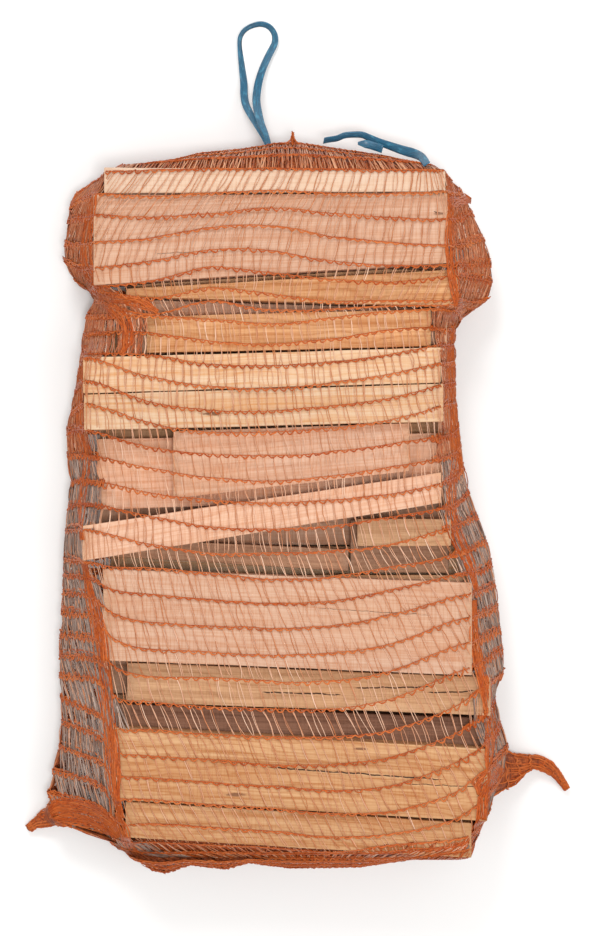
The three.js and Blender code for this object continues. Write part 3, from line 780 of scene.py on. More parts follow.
def skinAt(x, y):
    i = np.clip((np.asarray(x) - skinX[0]) / skinValues["cell"], 0, len(skinX) - 1.001)
    j = np.clip((np.asarray(y) - skinY[0]) / skinValues["cell"], 0, len(skinY) - 1.001)
    i0, j0 = i.astype(int), j.astype(int)
    u, v = i - i0, j - j0
    h = skinHeight
    lower = h[j0, i0] * (1 - u) * (1 - v) + h[j0, i0 + 1] * u * (1 - v)
    return lower + h[j0 + 1, i0] * (1 - u) * v + h[j0 + 1, i0 + 1] * u * v


def placeOnSkin(px, py, z):
    # where a picture place lies on the skin, in rounds because it shifts with the height
    for _ in range(3):
        x, y = shownPlace(px, py, z)
        z = skinAt(x, y)
    return x, y


def corner(start, control, end):
    t = np.linspace(0, 1, 10)[:, None]
    return (1 - t) ** 2 * np.array(start) + 2 * t * (1 - t) * np.array(control) + t ** 2 * np.array(end)


def lowerHalf(right, left, rim, floor, foot=13.0):
    # from the right edge down, along the surface it lies on, and up to the left edge
    down = corner((right[0], right[1], rim), (right[0], right[1], floor), (right[0] - foot, right[1], floor))
    up = corner((left[0] + foot, left[1], floor), (left[0], left[1], floor), (left[0], left[1], rim))
    t = np.linspace(0, 1, 40)[1:-1, None]
    return np.vstack([down, down[-1] + (up[0] - down[-1]) * t, up])


def makeLoops(values):
    # every knitted row as a closed loop: half its points across the front, half round the back
    fronts, backs = [], []
    for number, heights in enumerate(rowHeights):
        ends = {}
        for side, py in (("left", heights[0]), ("right", heights[-1])):
            y = shownPlace(0, py, values["rim"])[1]
            ends[side] = (edgeX(y, side), y)
        px = np.array(rowColumns, dtype=float)
        py = np.array(heights[1:-1], dtype=float)
        if number in rowDrops:
            px, py = np.insert(px, 1, dropColumn), np.insert(py, 1, rowDrops[number][1])
            px[0] += 2.4 * np.clip(number - 20, 0, 6)  # the drop leans with the ends of the sticks
            py[0] = rowDrops[number][0]
        x, y = placeOnSkin(px, py, 95.0)
        keep = (x > ends["left"][0] + values["edgeRoom"]) & (x < ends["right"][0] - values["edgeRoom"])
        inner = list(zip(x[keep], y[keep], np.zeros(keep.sum())))
        path, _ = smoothRoute([(*ends["left"], 0.0)] + inner + [(*ends["right"], 0.0)], 1.5)
        y = np.clip(path[:, 1], *values["rowEnds"])
        x = np.clip(path[:, 0], edgeX(y, "left"), edgeX(y, "right"))
        path = np.stack([x, y, skinAt(x, y)], axis=1)
        path[[0, -1], 2] = values["rim"]
        fronts.append(evenly(path, half + 1))
        backs.append(evenly(lowerHalf(path[-1], path[0], values["rim"], values["floor"]), half + 1))
    return np.array(fronts), np.array(backs)


# the gathered mouth and the foot: y where the closing starts, height of the seam and of the front before it,
# how far each closing row has come, and the seam as (x, y), whose ends are drawn in a little
seamInsets = (22, 16)
closings = {
    "mouth": {"start": 237.5, "seam": 52, "top": 102.6, "rows": (0.4, 0.75, 1.0), "edge": [
        (-139, 240), (-106, 242.4), (-84, 246.6), (-70, 250.2), (-41, 253), (-26, 255.2), (-16, 257.4), (2, 257.4),
        (30, 253), (59, 248.8), (94, 241.5), (106, 240)]},
    "foot": {"start": -249.5, "seam": 42, "top": 86, "rows": (0.35, 0.7, 1.0), "edge": [
        (-130, -249), (-121, -259.5), (-96, -266), (-78, -260.2), (-53, -263.1), (-35, -258.7), (-6, -262.4),
        (45, -261.6), (74, -257.3), (85, -255.1), (122, -254), (130, -250)]},
}


def closingLoop(values, v, floor):
    # a row round the closed end of the bag: across the front at z high, back across at z low, meeting at the seam
    start, seam, top, edge = values["start"], values["seam"], values["top"], np.array(values["edge"], dtype=float)
    leftX, rightX = edgeX(start, "left"), edgeX(start, "right")
    leftX += v * (edge[0, 0] + seamInsets[0] - leftX)
    rightX += v * (edge[-1, 0] - seamInsets[1] - rightX)
    high, low = top + v ** 1.4 * (seam + 3 - top), floor + v ** 1.4 * (seam - 3)
    middle = low + 0.42 * (high - low)
    turn, foot = 16 + 10 * v, 13 - 5 * v
    front = np.vstack([corner((leftX, 0, middle), (leftX + 1, 0, high - 1), (leftX + turn, 0, high)),
                       corner((rightX - turn, 0, high), (rightX - 1, 0, high - 1), (rightX, 0, middle))])
    back = np.vstack([corner((rightX, 0, middle), (rightX, 0, low), (rightX - foot, 0, low)),
                      corner((leftX + foot, 0, low), (leftX, 0, low), (leftX, 0, middle))])
    loops = []
    for loop in (evenly(front, half + 1), evenly(back, half + 1)):
        loop[:, 1] = start + v * (np.interp(loop[:, 0], edge[:, 0], edge[:, 1]) - start)
        loops.append(loop)
    return loops


def alignRows(loops):
    # the same step of neighbouring rows lies at nearly the same place across the bag
    left, right = loops[:, :1, 0], loops[:, -1:, 0]
    share = (loops[..., 0] - left) / (right - left)
    spread = np.exp(-0.5 * (np.arange(-6, 7) / 2.5) ** 2)
    padded = np.pad(share, ((6, 6), (0, 0)), mode="edge")
    calm = sum(padded[i:i + len(share)] * w for i, w in enumerate(spread)) / spread.sum()
    aligned = np.empty_like(loops)
    for k, loop in enumerate(loops):
        x = left[k] + calm[k] * (right[k] - left[k])
        aligned[k] = np.stack([x, np.interp(x, loop[:, 0], loop[:, 1]), np.interp(x, loop[:, 0], loop[:, 2])], axis=1)
    return aligned


fronts, backs = makeLoops(netValues)
mouthRings, footRings = ([closingLoop(closings[end], v, netValues["floor"]) for v in closings[end]["rows"]]
                         for end in ("mouth", "foot"))
fronts = alignRows(np.array([ring[0] for ring in mouthRings[::-1]] + list(fronts) + [ring[0] for ring in footRings]))
backs = np.array([ring[1] for ring in mouthRings[::-1]] + list(backs) + [ring[1] for ring in footRings])
mouthCount, footCount, rowCount = len(mouthRings), len(footRings), len(fronts)
middles = fronts[:, half // 2, 0]
stepWidths = (fronts[:, -1, 0] - fronts[:, 0, 0]) / scallops
leans = np.array([0.0] * mouthCount + rowLeans + [0.0] * (footCount - 1))
leans = (leans - np.diff(middles)) / stepWidths[:-1]
print("net rows", rowCount)

# threads of the net: knitted cords, ties over the sticks, ties at the sides, and ties that hang open and are painted
# dark grey-brown as painted shade
threadValues = {
    "knittedOrangeCord": {"pale": (0.68, 0.21, 0.055, 1), "deep": (0.49, 0.085, 0.009, 1),
                          "shadow": (0.27, 0.038, 0.005, 1), "paleness": 0.35, "coat": 0.0},
    "orangeTieThread": {"pale": (0.86, 0.60, 0.44, 1), "deep": (0.54, 0.18, 0.055, 1),
                        "shadow": (0.40, 0.11, 0.028, 1), "paleness": 0.8, "coat": 0.25},
    "sideTieThread": {"pale": (0.70, 0.34, 0.18, 1), "deep": (0.43, 0.08, 0.012, 1),
                      "shadow": (0.18, 0.03, 0.007, 1), "paleness": 0.8, "coat": 0.1},
    # the open ties' deep and shadow colours are painted shade of the dark inside seen through the open sides, their
    # pale colour painted glints
    "openTieShadeThread": {"pale": (0.84, 0.66, 0.56, 1), "deep": (0.17, 0.075, 0.045, 1),
                       "shadow": (0.075, 0.04, 0.028, 1), "paleness": 0.6, "coat": 0.1},
}


def threadMaterial(name, values):
    material, maker, shader = newMaterial(name)
    space = maker.attribute("strandSpace")
    along = maker.noise(space, (0.35, 0.8, 3.0), 3.0)
    slow = maker.noise(space, (0.03, 0.0, 5.0), 2.0)
    # the shadow colour is painted shade laid along each strand by noise; the pale colour is partly the threads' lighter
    # tone and partly painted glints, set by each strand's tone
    tone = maker.mixColor(maker.mapRange(along, 0.35, 0.65), values["shadow"], values["deep"])
    own = maker.times(maker.split(space)[2], values["paleness"])
    pale = maker.plus(maker.mapRange(slow, 0.4, 0.7, 0.0, 0.35), own, clamp=True)
    maker.put(shader["Base Color"], maker.mixColor(pale, tone, values["pale"]))
    maker.put(shader["Roughness"], maker.mapRange(along, 0.3, 0.7, 0.28, 0.5))
    maker.put(shader["Normal"], maker.bump(along, 0.4, 0.0002))
    shader["Specular IOR Level"].default_value = 0.18
    shader["Coat Weight"].default_value = values["coat"]
    shader["Coat Roughness"].default_value = 0.2
    return material


cordThread, tieThread, sideThread, openShadeThread = (threadMaterial(*entry) for entry in threadValues.items())


def strandMesh(name, paths, ways, width, thickness, tone, material=cordThread, sides=4):
    # paths is strands x points x 3, ways the direction of the wide way of each strand, tone its paleness, which stands
    # both for a lighter thread and for a painted glint
    strands, count = paths.shape[:2]
    tangent = unit(np.gradient(paths, axis=1))
    across = unit(ways - tangent * np.sum(ways * tangent, axis=-1, keepdims=True))
    face = np.cross(tangent, across)
    angle = (2 * np.pi * (np.arange(sides) + 0.5) / sides)[None, None, :, None]
    width, thickness = (np.broadcast_to(np.asarray(size, dtype=float), (strands, count))[..., None, None]
                        for size in (width, thickness))
    rings = paths[:, :, None] + across[:, :, None] * (np.cos(angle) * width / 2)
    rings = rings + face[:, :, None] * (np.sin(angle) * thickness / 2)
    rings[..., 2] = np.maximum(rings[..., 2], 0.15)
    quads = tubeQuads(strands, count, sides)[:, ::-1]
    piece = meshPiece(name, rings.reshape(-1, 3), quads, material)
    # along the strand in millimetres, number of the side, tone
    pieceLengths = np.linalg.norm(np.diff(paths, axis=1), axis=-1)
    run = np.concatenate([np.zeros((strands, 1)), np.cumsum(pieceLengths, axis=1)], axis=1)
    run = run + (np.arange(strands) * 37.7)[:, None]
    parts = (run[..., None], np.arange(sides) * 1.0, np.asarray(tone)[:, None, None])
    addAttribute(piece, "strandSpace", np.stack(np.broadcast_arrays(*parts), axis=-1).reshape(-1, 3))
    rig.ride(piece, "root")
    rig.slot(piece, "orange_net")
    print(name, "triangles", 2 * len(quads))
    return piece

# knitted cords: a straight thread with scallops hanging under it, all along each row
rng = np.random.default_rng(7)
phase = np.zeros(rowCount)
for k in range(1, rowCount):
    phase[k] = phase[k - 1] - 0.5 - leans[k - 1]
phase = phase - np.floor(phase)


def downRow(paths):
    down = np.empty_like(paths)
    down[:-1] = paths[1:] - paths[:-1]
    down[-1] = down[-2]
    return unit(down)


def alongRow(paths):
    return unit(np.gradient(paths, axis=1))


down = downRow(fronts)
normal = unit(np.cross(alongRow(fronts), down))
normal = normal * np.sign(normal[..., 2:3] + 1e-9)
wave = 1 - 2 * np.abs(np.sin(np.pi * (np.arange(half + 1)[None, :] / steps + phase[:, None])))
# the net is slack at the sides and at the lower right, where its scallops swing wider
sideSlack = ramp(fronts[..., 2], netValues["sideTop"], netValues["sideTop"] - 14)
rowNumber = np.arange(rowCount)[:, None] - mouthCount
cornerSlack = ramp(fronts[..., 0], 78, 108) * ramp(rowNumber, 18, 23) * ramp(rowNumber, 31, 29)
swing = netValues["scallop"] * (0.8 + 0.4 * rng.random((rowCount, 1))) * (1 + 1.2 * sideSlack + 1.1 * cornerSlack)
lift = normal * netValues["lift"]
# each thread drifts a little up and down, but stays near its row
drift = np.cumsum(rng.normal(0, 0.16, (rowCount, half + 1)), axis=1)
calm = np.ones(61) / 61
drift = drift - np.stack([np.convolve(np.pad(row, 30, mode="edge"), calm, mode="valid") for row in drift])
swing = swing * np.repeat(rng.uniform(0.45, 1.35, (rowCount, scallops + 1)), steps, axis=1)[:, :half + 1]
cords = fronts + lift - down * (wave * swing)[..., None] + down * (0.5 * netValues["scallop"] + 0.5 * drift)[..., None]
cords += rng.normal(0, 0.13, cords.shape)
lumps = netValues["cord"] * (1.0 + 0.3 * np.maximum(-wave, 0) + 0.16 * rng.normal(size=wave.shape))
frontCords = strandMesh("netFrontCords", cords, down, 1.75 * lumps, 1.4 * lumps, rng.random(rowCount))
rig.replaces(frontCords, "net_front")
every = np.arange(0, half + 1, 4)
straight = fronts + lift * 1.1 + down * (0.5 * drift)[..., None] + rng.normal(0, 0.1, fronts.shape)
strandMesh("netFrontLines", straight[:, every], down[:, every], 2 * netValues["straight"], 1.4 * netValues["straight"],
           rng.random(rowCount) * 0.3)

downBack = downRow(backs)
every = np.arange(0, half + 1, 3)
cordsBack = backs - downBack * (wave * netValues["scallop"])[..., None]
cordsBack = cordsBack + rng.normal(0, 0.15, cordsBack.shape) * (1, 1, 0.5)
backCords = strandMesh("netBackCords", cordsBack[:, every], downBack[:, every], 1.5, 1.1, rng.random(rowCount))
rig.replaces(backCords, "net_back")
print("cords knitted")


def samplePath(loop, at):
    i = np.clip(at, 0, len(loop) - 1.001)
    i0 = i.astype(int)
    u = (i - i0)[:, None]
    return loop[i0] * (1 - u) + loop[i0 + 1] * u


def woodTop(x, y):
    top = np.full(np.shape(x), netValues["rim"])
    for row in stickRows.values():
        on = overStick(row, x, y)
        top[on] = np.maximum(top[on], row[7])
    return top


def gapUnder(place):
    # how far the wood lies under the net
    return skinAt(place[:, 0], place[:, 1]) - woodTop(place[:, 0], place[:, 1])


# bow and twist spread a tie out of its straight way, and only ties inside the bounds of the painted glints turn pale
tieValues = {"width": 0.7, "thickness": 0.24, "bow": 0.75, "twist": 0.35, "leaveSkin": 3, "paintedGlintLow": -232,
             "paintedGlintMiddle": -8, "paintedGlintHalf": 128, "paintedGlintGap": (4, 14)}


def tieMesh(name, rows, owners, onFront, lanes, width, wander, material, pieces, bright=0.0, keep=None, paintedGlint=0.0):
    # a tie runs from each low point of one row to the next row's high point, lying on the net's skin
    loops = fronts if onFront else backs
    starts, ends = [], []
    for k in rows:
        for lane in lanes:
            offset = (0.5 - phase[k] + lane) % 1.0
            at = np.arange(offset, scallops, 1.0)
            to = at + leans[k] + rng.normal(0, wander, len(at))
            ok = (to > 0.05) & (to < scallops - 0.05)
            a = samplePath(loops[k], at[ok] * steps)
            b = samplePath(loops[k + 1], to[ok] * steps)
            if keep is not None:
                ok = keep(a, b)
                a, b = a[ok], b[ok]
            starts.append(a)
            ends.append(b)
    a, b = np.vstack(starts), np.vstack(ends)
    t = np.linspace(0, 1, pieces + 1)[None, :, None]
    paths = a[:, None] + (b - a)[:, None] * t
    bow = rng.normal(0, tieValues["bow"], (len(a), 1, 1)) * np.sin(np.pi * t)
    sideways = np.stack([b[:, 1] - a[:, 1], a[:, 0] - b[:, 0], 0.3 * (a[:, 2] - b[:, 2])], axis=-1)
    sideways = unit(sideways + 1e-6)[:, None, :]
    paths = paths + sideways * bow
    if onFront:  # near the mouth and the foot the ties leave the skin
        y = paths[..., 1]
        low, high = skinValues["lying"]
        blend = ramp(y, high, high - tieValues["leaveSkin"]) * ramp(y, low, low + tieValues["leaveSkin"])
        skin = skinAt(paths[..., 0], y) + netValues["lift"] * 0.9
        paths[..., 2] = np.where((y < high) & (y > low), paths[..., 2] * (1 - blend) + skin * blend, paths[..., 2])
    paths[..., 2] += rng.normal(0, 0.12, paths.shape[:2])
    twist = rng.normal(0, tieValues["twist"], len(a))[:, None, None]
    flatWay = np.broadcast_to(sideways, paths.shape) + np.array([0, 0, 1.0]) * twist
    widths = width * rng.uniform(0.7, 1.25, len(a))[:, None]
    tone = 0.35 * rng.random(len(a)) ** 2 + bright
    # painted highlight: a tie that spans a gap is coloured paler, as a glint would make it look
    if paintedGlint:  # a tie that spans a gap catches the light and looks paler than one that lies on wood
        middle = (a + b) / 2
        inX = np.abs(middle[:, 0] - tieValues["paintedGlintMiddle"]) < tieValues["paintedGlintHalf"]
        gap = ramp(gapUnder(middle), *tieValues["paintedGlintGap"]) * inX * (middle[:, 1] > tieValues["paintedGlintLow"])
        tone = tone + paintedGlint * gap * rng.uniform(0.05, 1.0, len(a)) ** 1.5
    piece = strandMesh(name, paths, flatWay, widths, tieValues["thickness"], tone, material)
    for owner in owners:
        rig.replaces(piece, owner)


middleRows = range(mouthCount, rowCount - footCount - 1)
tieMesh("netFrontTies", middleRows, (), True, (0.0, 0.16), tieValues["width"], 0.13, tieThread, 4, paintedGlint=0.6)
tieMesh("netBackTies", middleRows, (), False, (0.0,), 0.8, 0.08, tieThread, 2, bright=0.1)


def onSideFront(a, b):
    # beside the ends of the sticks, as far in from the bag's edge as the photo's open sides reach at each y
    x, y = a[:, 0], a[:, 1]
    nearLeft = x < edgeX(y, "left") + np.interp(y, (-80, -30, 100, 108, 144, 150), (44, 24, 24, 46, 46, 26))
    nearRight = x > edgeX(y, "right") - np.interp(y, (-60, -40, 0, 20, 128, 142), (20, 27, 27, 17, 17, 34))
    free = (gapUnder((a + b) / 2) > 2.5) & (a[:, 2] < netValues["sideTop"])
    return free & (nearLeft | nearRight) & (np.abs(a[:, 2] - b[:, 2]) < 30)


def offFloor(a, b):
    return np.maximum(a[:, 2], b[:, 2]) > 2


sideLanes = (0.12, 0.25, 0.37, 0.5, 0.62, 0.75, 0.87)
upperNodes, lowerNodes = ("net_left_upper", "net_right_upper"), ("net_left_lower", "net_right_lower")
# high up the sides are drawn tight and orange; further down they hang open, and there their threads are painted dark
# grey-brown as painted shade between the bands, a few pale as painted glints
for label, rows, thread in (("Tight", middleRows[:15], sideThread), ("Open", middleRows[15:], openShadeThread)):
    tieMesh("netSideTies" + label, rows, upperNodes, True, sideLanes, 1.0, 0.4, thread, 3, keep=onSideFront)
tieMesh("netSideTiesLower", middleRows, lowerNodes, False, (0.2, 0.4, 0.6, 0.8), 1.1, 0.4, sideThread, 3,
        keep=offFloor)
footRows = range(rowCount - footCount - 3, rowCount - 1)
tieMesh("netFootTiesFront", footRows, ("net_foot",), True, (0.0, 0.5), 0.7, 0.35, cordThread, 3)
tieMesh("netFootTiesBack", footRows, (), False, (0.0,), 0.8, 0.3, cordThread, 2)


topEdge = {"x": (-137, 102), "drawnTo": -16}  # ends of the top stick's edge, and where the mouth is drawn together


def closingPleats(name, loops, owner, count, width, material, bright):
    # threads drawn from the last row over the edge of the top stick to the closed mouth
    at = (np.arange(count) + rng.uniform(0.1, 0.9, count)) / count * (half - 4) + 2
    stops, ways = [], []
    for number, loop in enumerate(loops):
        if loop[0, 0] < loop[-1, 0]:  # across the front the threads run straight up the bag, so they are placed by x
            x = np.interp(at, (0, half), topEdge["x"]) + rng.normal(0, 0.7, count)
            x = topEdge["drawnTo"] + (x - topEdge["drawnTo"]) * (1 - 0.05 * number)
            place = np.interp(x, loop[:, 0], np.arange(half + 1))
        else:
            place = np.clip(at + rng.normal(0, 1.3, count), 1, half - 1)
        stops.append(samplePath(loop, place))
        ways.append(samplePath(alongRow(loop[None])[0], place))
    stops, ways = np.stack(stops, axis=1), np.stack(ways, axis=1)
    t = np.linspace(0, len(loops) - 1, 3 * len(loops) - 2)
    low = np.minimum(t.astype(int), len(loops) - 2)
    share = (t - low)[None, :, None]
    paths, ways = (part[:, low] * (1 - share) + part[:, low + 1] * share for part in (stops, ways))
    paths = paths + rng.normal(0, 0.22, paths.shape) + np.array([0, 0, 0.5])
    paths[..., 1] = np.minimum(paths[..., 1], 258.5)
    widths = width * rng.uniform(0.6, 1.5, count)[:, None]
    # bright sets how pale the palest pleats turn; these pale pleats are painted glints
    pleats = strandMesh(name, paths, ways, widths, 0.5, bright * rng.random(count) ** 2, material)
    if owner:
        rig.replaces(pleats, owner)


mouthLoops = [fronts[:mouthCount + 1][::-1], backs[:mouthCount + 1][::-1]]
closingPleats("netMouthPleatsFront", mouthLoops[0], "net_mouth", 200, 1.0, sideThread, 1.0)
closingPleats("netMouthPleatsBack", mouthLoops[1], None, 190, 1.3, cordThread, 0.5)
print("ties knitted")


def zigzag(run, slow, fast):
    # swings between -1 and 1 as a slack thread does, run counted in scallops
    return np.abs((run * rng.uniform(slow, fast) + rng.random()) % 1 - 0.5) * 4 - 1


def slackBands(name, loops, side, strands, spread, span=60, step=2):
    # at the sides each row is a thick band, because its thread zigzags there instead of being pulled straight
    paths, ways, tones = [], [], []
    across = downRow(loops)
    ends = np.arange(0, span + 1, step) if side == "first" else np.arange(half, half - span - 1, -step)
    for k in range(mouthCount, rowCount - footCount):
        part, way = loops[k, ends], across[k, ends]
        slack = ramp(part[:, 2], 99, 83)
        for _ in range(strands):
            zig = zigzag(np.arange(len(ends)) * step / steps, 1.6, 3.2)
            offset = rng.uniform(-spread, spread) * 0.75
            move = slack * (offset + zig * rng.uniform(0.5, 1.6) + rng.normal(0, 0.3, len(ends)))
            out = part + way * move[:, None] + rng.normal(0, 0.35, part.shape) * slack[:, None]
            out[:, 2] = np.clip(out[:, 2], 0.7, netValues["top"])
            paths.append(out)
            ways.append(way)
            tones.append(rng.random() ** 2)
    strandMesh(name, np.array(paths), np.array(ways), 1.5, 0.8, np.array(tones))


for level, loops, labels, strands, spread in (("Upper", fronts, ("Left", "Right"), 7, 4.4),
                                              ("Lower", backs, ("Right", "Left"), 3, 2.9)):
    for label, side in zip(labels, ("first", "last")):
        slackBands("netSideBands" + level + label, loops, side, strands, spread)


def bundleRows(name, loops, rows, strands, spread, step):
    # rows drawn close together where the bag closes
    paths, ways = [], []
    across = downRow(loops)
    pick = np.arange(0, half + 1, step)
    for k in rows:
        for _ in range(strands):
            zig = zigzag(pick / steps, 0.8, 2.2)
            slow = np.sin(pick / half * rng.uniform(10, 26) + rng.uniform(0, 6))
            move = rng.uniform(-spread, spread) + zig * rng.uniform(0.3, 0.9) + slow * 0.5
            out = loops[k, pick] + across[k, pick] * move[:, None] + rng.normal(0, 0.3, (len(pick), 3))
            out[:, 1] = np.clip(out[:, 1], -267.5, 267.5)
            out[:, 2] = np.clip(out[:, 2], 0.7, netValues["top"] + 0.2)
            paths.append(out)
            ways.append(across[k, pick])
    strandMesh(name, np.array(paths), np.array(ways), 1.0, 0.7, rng.random(len(paths)) ** 2)


mouthBand, footBand = range(mouthCount), range(rowCount - footCount - 2, rowCount)
bundleRows("netMouthBands", fronts, mouthBand, 1, 0.8, 3)
bundleRows("netMouthBandsBack", backs, mouthBand, 1, 1.0, 4)
bundleRows("netFootBands", fronts, footBand, 6, 2.4, 3)
bundleRows("netFootBandsBack", backs, footBand, 2, 1.2, 4)


def cellQuads(block):
    return np.stack([block[:-1, :-1], block[1:, :-1], block[1:, 1:], block[:-1, 1:]], axis=-1).reshape(-1, 4)


def gatherSheet(name, loops, inset, pleat, material):
    # layers of net pressed together at the closed ends read as one pleated cloth behind the loose threads
    grid = loops[:, ::2]
    rows, columns = grid.shape[:2]
    run = np.linspace(0, 1, columns)[None, :]
    pleats = np.sin(run * 330 + 3 * np.sin(run * 21)) * 0.6 + np.sin(run * 141 + 1.3) * 0.4
    inward = np.zeros_like(grid)
    inward[..., 1] = -np.sign(grid[..., 1].mean())
    inward[..., 2] = np.clip((50 - grid[..., 2]) / 30, -1, 1)
    inward = unit(inward)
    outer = grid + inward * (inset + pleat * pleats)[..., None]
    points = np.concatenate([outer, outer + inward * 0.7])
    index = np.arange(2 * rows * columns).reshape(2, rows, columns)
    rim = []
    for edge in (index[:, 0, :], index[:, -1, ::-1], index[:, ::-1, -1], index[:, :, 0]):
        rim.append(np.stack([edge[0, :-1], edge[0, 1:], edge[1, 1:], edge[1, :-1]], axis=-1))
    quads = np.vstack([cellQuads(index[0]), cellQuads(index[1])[:, ::-1]] + rim)
    points[..., 2] = np.clip(points[..., 2], 0.3, netValues["top"])
    piece = meshPiece(name, points.reshape(-1, 3), quads, material)
    space = np.stack(np.broadcast_arrays(run * 380, np.arange(2 * rows)[:, None] * 6.0, 0.0), axis=-1)
    addAttribute(piece, "strandSpace", space.reshape(-1, 3))
    fixNormals(piece)
    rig.ride(piece, "root")
    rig.slot(piece, "orange_net")


gatherValues = {"dark": (0.15, 0.028, 0.008, 1), "warm": (0.34, 0.07, 0.014, 1), "bright": (0.50, 0.13, 0.03, 1)}


def gatherMaterial(values):
    material, maker, shader = newMaterial("gatheredNetCloth")
    space = maker.attribute("strandSpace")
    threads = maker.noise(space, (0.9, 0.12, 0.0), 4.0)
    rows = maker.noise(space, (0.25, 0.9, 0.0), 3.0)
    tone = maker.mixColor(maker.mapRange(threads, 0.42, 0.62), values["dark"], values["warm"])
    tone = maker.mixColor(maker.mapRange(rows, 0.5, 0.7, 0.0, 0.7), tone, values["bright"])
    maker.put(shader["Base Color"], tone)
    maker.put(shader["Normal"], maker.bump(maker.plus(threads, rows), 0.8, 0.0008))
    shader["Specular IOR Level"].default_value = 0.18
    maker.put(shader["Roughness"], maker.mapRange(threads, 0.3, 0.7, 0.35, 0.6))
    return material


gatherFinish = gatherMaterial(gatherValues)
gatherSheet("netMouthGatherFront", mouthLoops[0][::-1], 1.6, 0.8, gatherFinish)
gatherSheet("netMouthGatherBack", mouthLoops[1][::-1], 1.4, 0.4, gatherFinish)
gatherSheet("netFootGatherFront", fronts[rowCount - footCount - 3:], 1.6, 0.8, gatherFinish)
gatherSheet("netFootGatherBack", backs[rowCount - footCount - 2:], 1.4, 0.4, gatherFinish)

# tuft where the mouth is drawn together
tuftValues = {"strands": 22, "points": 12, "x": -3.8, "startY": 255.5, "endY": 264.5, "endZ": 50}


def makeTuft(values):
    run = np.linspace(0, 1, values["points"])
    paths = []
    for _ in range(values["strands"]):
        base = np.array([rng.uniform(-17, 8), values["startY"], rng.uniform(46, 60)])
        tip = np.array([values["x"] + rng.normal(0, 0.55), values["endY"] + rng.uniform(-3, 2.5),
                        values["endZ"] + rng.normal(0, 1)])
        path = base + (tip - base) * run[:, None]
        path[:, 0] -= np.sin(np.pi * run) * (base[0] - values["x"]) * 0.35
        paths.append(path + rng.normal(0, 0.3, path.shape))
    paths = np.array(paths)
    strandMesh("netMouthTuft", paths, np.array([1.0, 0, 0]) + 0 * paths, 1.3, 0.8, rng.random(len(paths)) * 0.6)


makeTuft(tuftValues)
print("slack bands laid")

# folds: where the net is drawn into a rope of threads, as picture places, with width in pixels and thread count
foldValues = {
    "LeftStickEnds": ([(84, 562), (90, 590), (97, 620), (101, 650), (104, 680), (108, 712), (112, 745), (114, 785),
                       (121, 818)], 13, 24),
    "LeftNotch": ([(92, 291), (104, 295), (122, 299), (141, 303), (158, 312)], 9, 16),
    "LeftNotchDown": ([(97, 294), (112, 308), (126, 322), (128, 340), (122, 354)], 12, 14),
    "LeftNotchUp": ([(97, 292), (88, 270), (86, 245), (90, 215), (97, 190)], 12, 14),
    "RightStickEnds": ([(443, 168), (450, 190), (450, 225), (451, 262), (457, 300), (452, 322)], 8, 14),
    "RightUpper": ([(455, 322), (450, 345), (449, 380), (450, 420), (452, 450)], 9, 10),
    "RightUpperEdge": ([(453, 326), (453, 360), (456, 400), (459, 440), (462, 474)], 13, 26),
    "LeftEar": ([(44, 817), (62, 813), (85, 815), (104, 823), (118, 838)], 27, 60),
    "RightEar": ([(483, 797), (488, 785), (494, 774), (500, 765)], 28, 40),
    "RightLump": ([(449, 204), (457, 200), (464, 199), (471, 201)], 10, 16),
    "RightMiddle": ([(459, 438), (454, 470), (451, 500), (456, 535), (470, 565), (476, 590)], 12, 18),
    "RightLower": ([(474, 600), (475, 630), (480, 660), (487, 690), (491, 725), (490, 760), (488, 790)], 11, 18),
    "LeftMiddle": ([(86, 345), (80, 380), (80, 425), (86, 460), (80, 500), (82, 540)], 9, 12),
    "LeftFoot": ([(118, 812), (124, 835), (132, 852), (150, 861)], 12, 14),
    "RightFoot": ([(487, 785), (483, 812), (476, 835), (469, 858)], 13, 24),
}


def makeFold(name, places, width, count):
    px, py = np.array(places, dtype=float).T
    x, y = placeOnSkin(px, py, 80.0)
    path, _ = smoothRoute(np.stack([x, y, np.zeros(len(x))], axis=1), 2.4)
    tangent = unit(np.gradient(path, axis=0))
    side = levelSide(tangent)
    run = np.linspace(0, 1, len(path))
    belly = np.clip(np.minimum(run, 1 - run) * 6, 0.45, 1)
    paths = []
    for _ in range(count):
        place = rng.uniform(-0.5, 0.5) * width * 0.72
        move = (place + np.sin(run * rng.uniform(4, 11) + rng.uniform(0, 6)) * rng.uniform(0.5, 1.8)) * belly
        out = path + side * move[:, None]
        y = np.clip(out[:, 1], -266, 250)
        x = np.clip(out[:, 0], edgeX(y, "left") + 0.8, edgeX(y, "right") - 0.8)
        height = skinAt(x, y) + rng.uniform(0.2, 1.3) + rng.normal(0, 0.15, len(x))
        paths.append(np.stack([x, y, np.minimum(height, netValues["top"] + 0.3)], axis=1))
    paths = np.array(paths)
    strandMesh("netFold" + name, paths, side[None] + 0 * paths, 1.25, 0.6, 0.6 * rng.random(count) ** 3)


for name, (places, width, count) in foldValues.items():
    makeFold(name, places, width, count)
print("folds drawn in")

# corner ears: the bag's corners pulled out and twisted into points, each ring as x, y, z, half width, half height
earValues = {
    "Left": {"node": "net_ear_left", "strands": 96, "turns": 0.2, "rings": [
        (-160, -220, 26, 17, 18), (-171, -225, 19, 14.5, 14), (-180, -229.5, 13, 11, 10), (-187, -233, 9, 7.5, 6.5),
        (-193.5, -236.8, 6, 4.8, 4), (-198.3, -240, 4, 2.6, 2.6)]},
    "Right": {"node": "net_ear_right", "strands": 72, "turns": 0.3, "rings": [
        (129, -192, 24, 32, 20), (143, -195, 19, 27, 16), (156, -194, 14, 16.5, 11), (167, -191.5, 10, 9.5, 7),
        (177, -191.5, 8, 5.5, 5), (187, -197, 6.5, 4.5, 4.2), (194, -205.5, 5, 3.4, 3.2), (197.8, -211, 4.5, 2, 2.4)]},
}


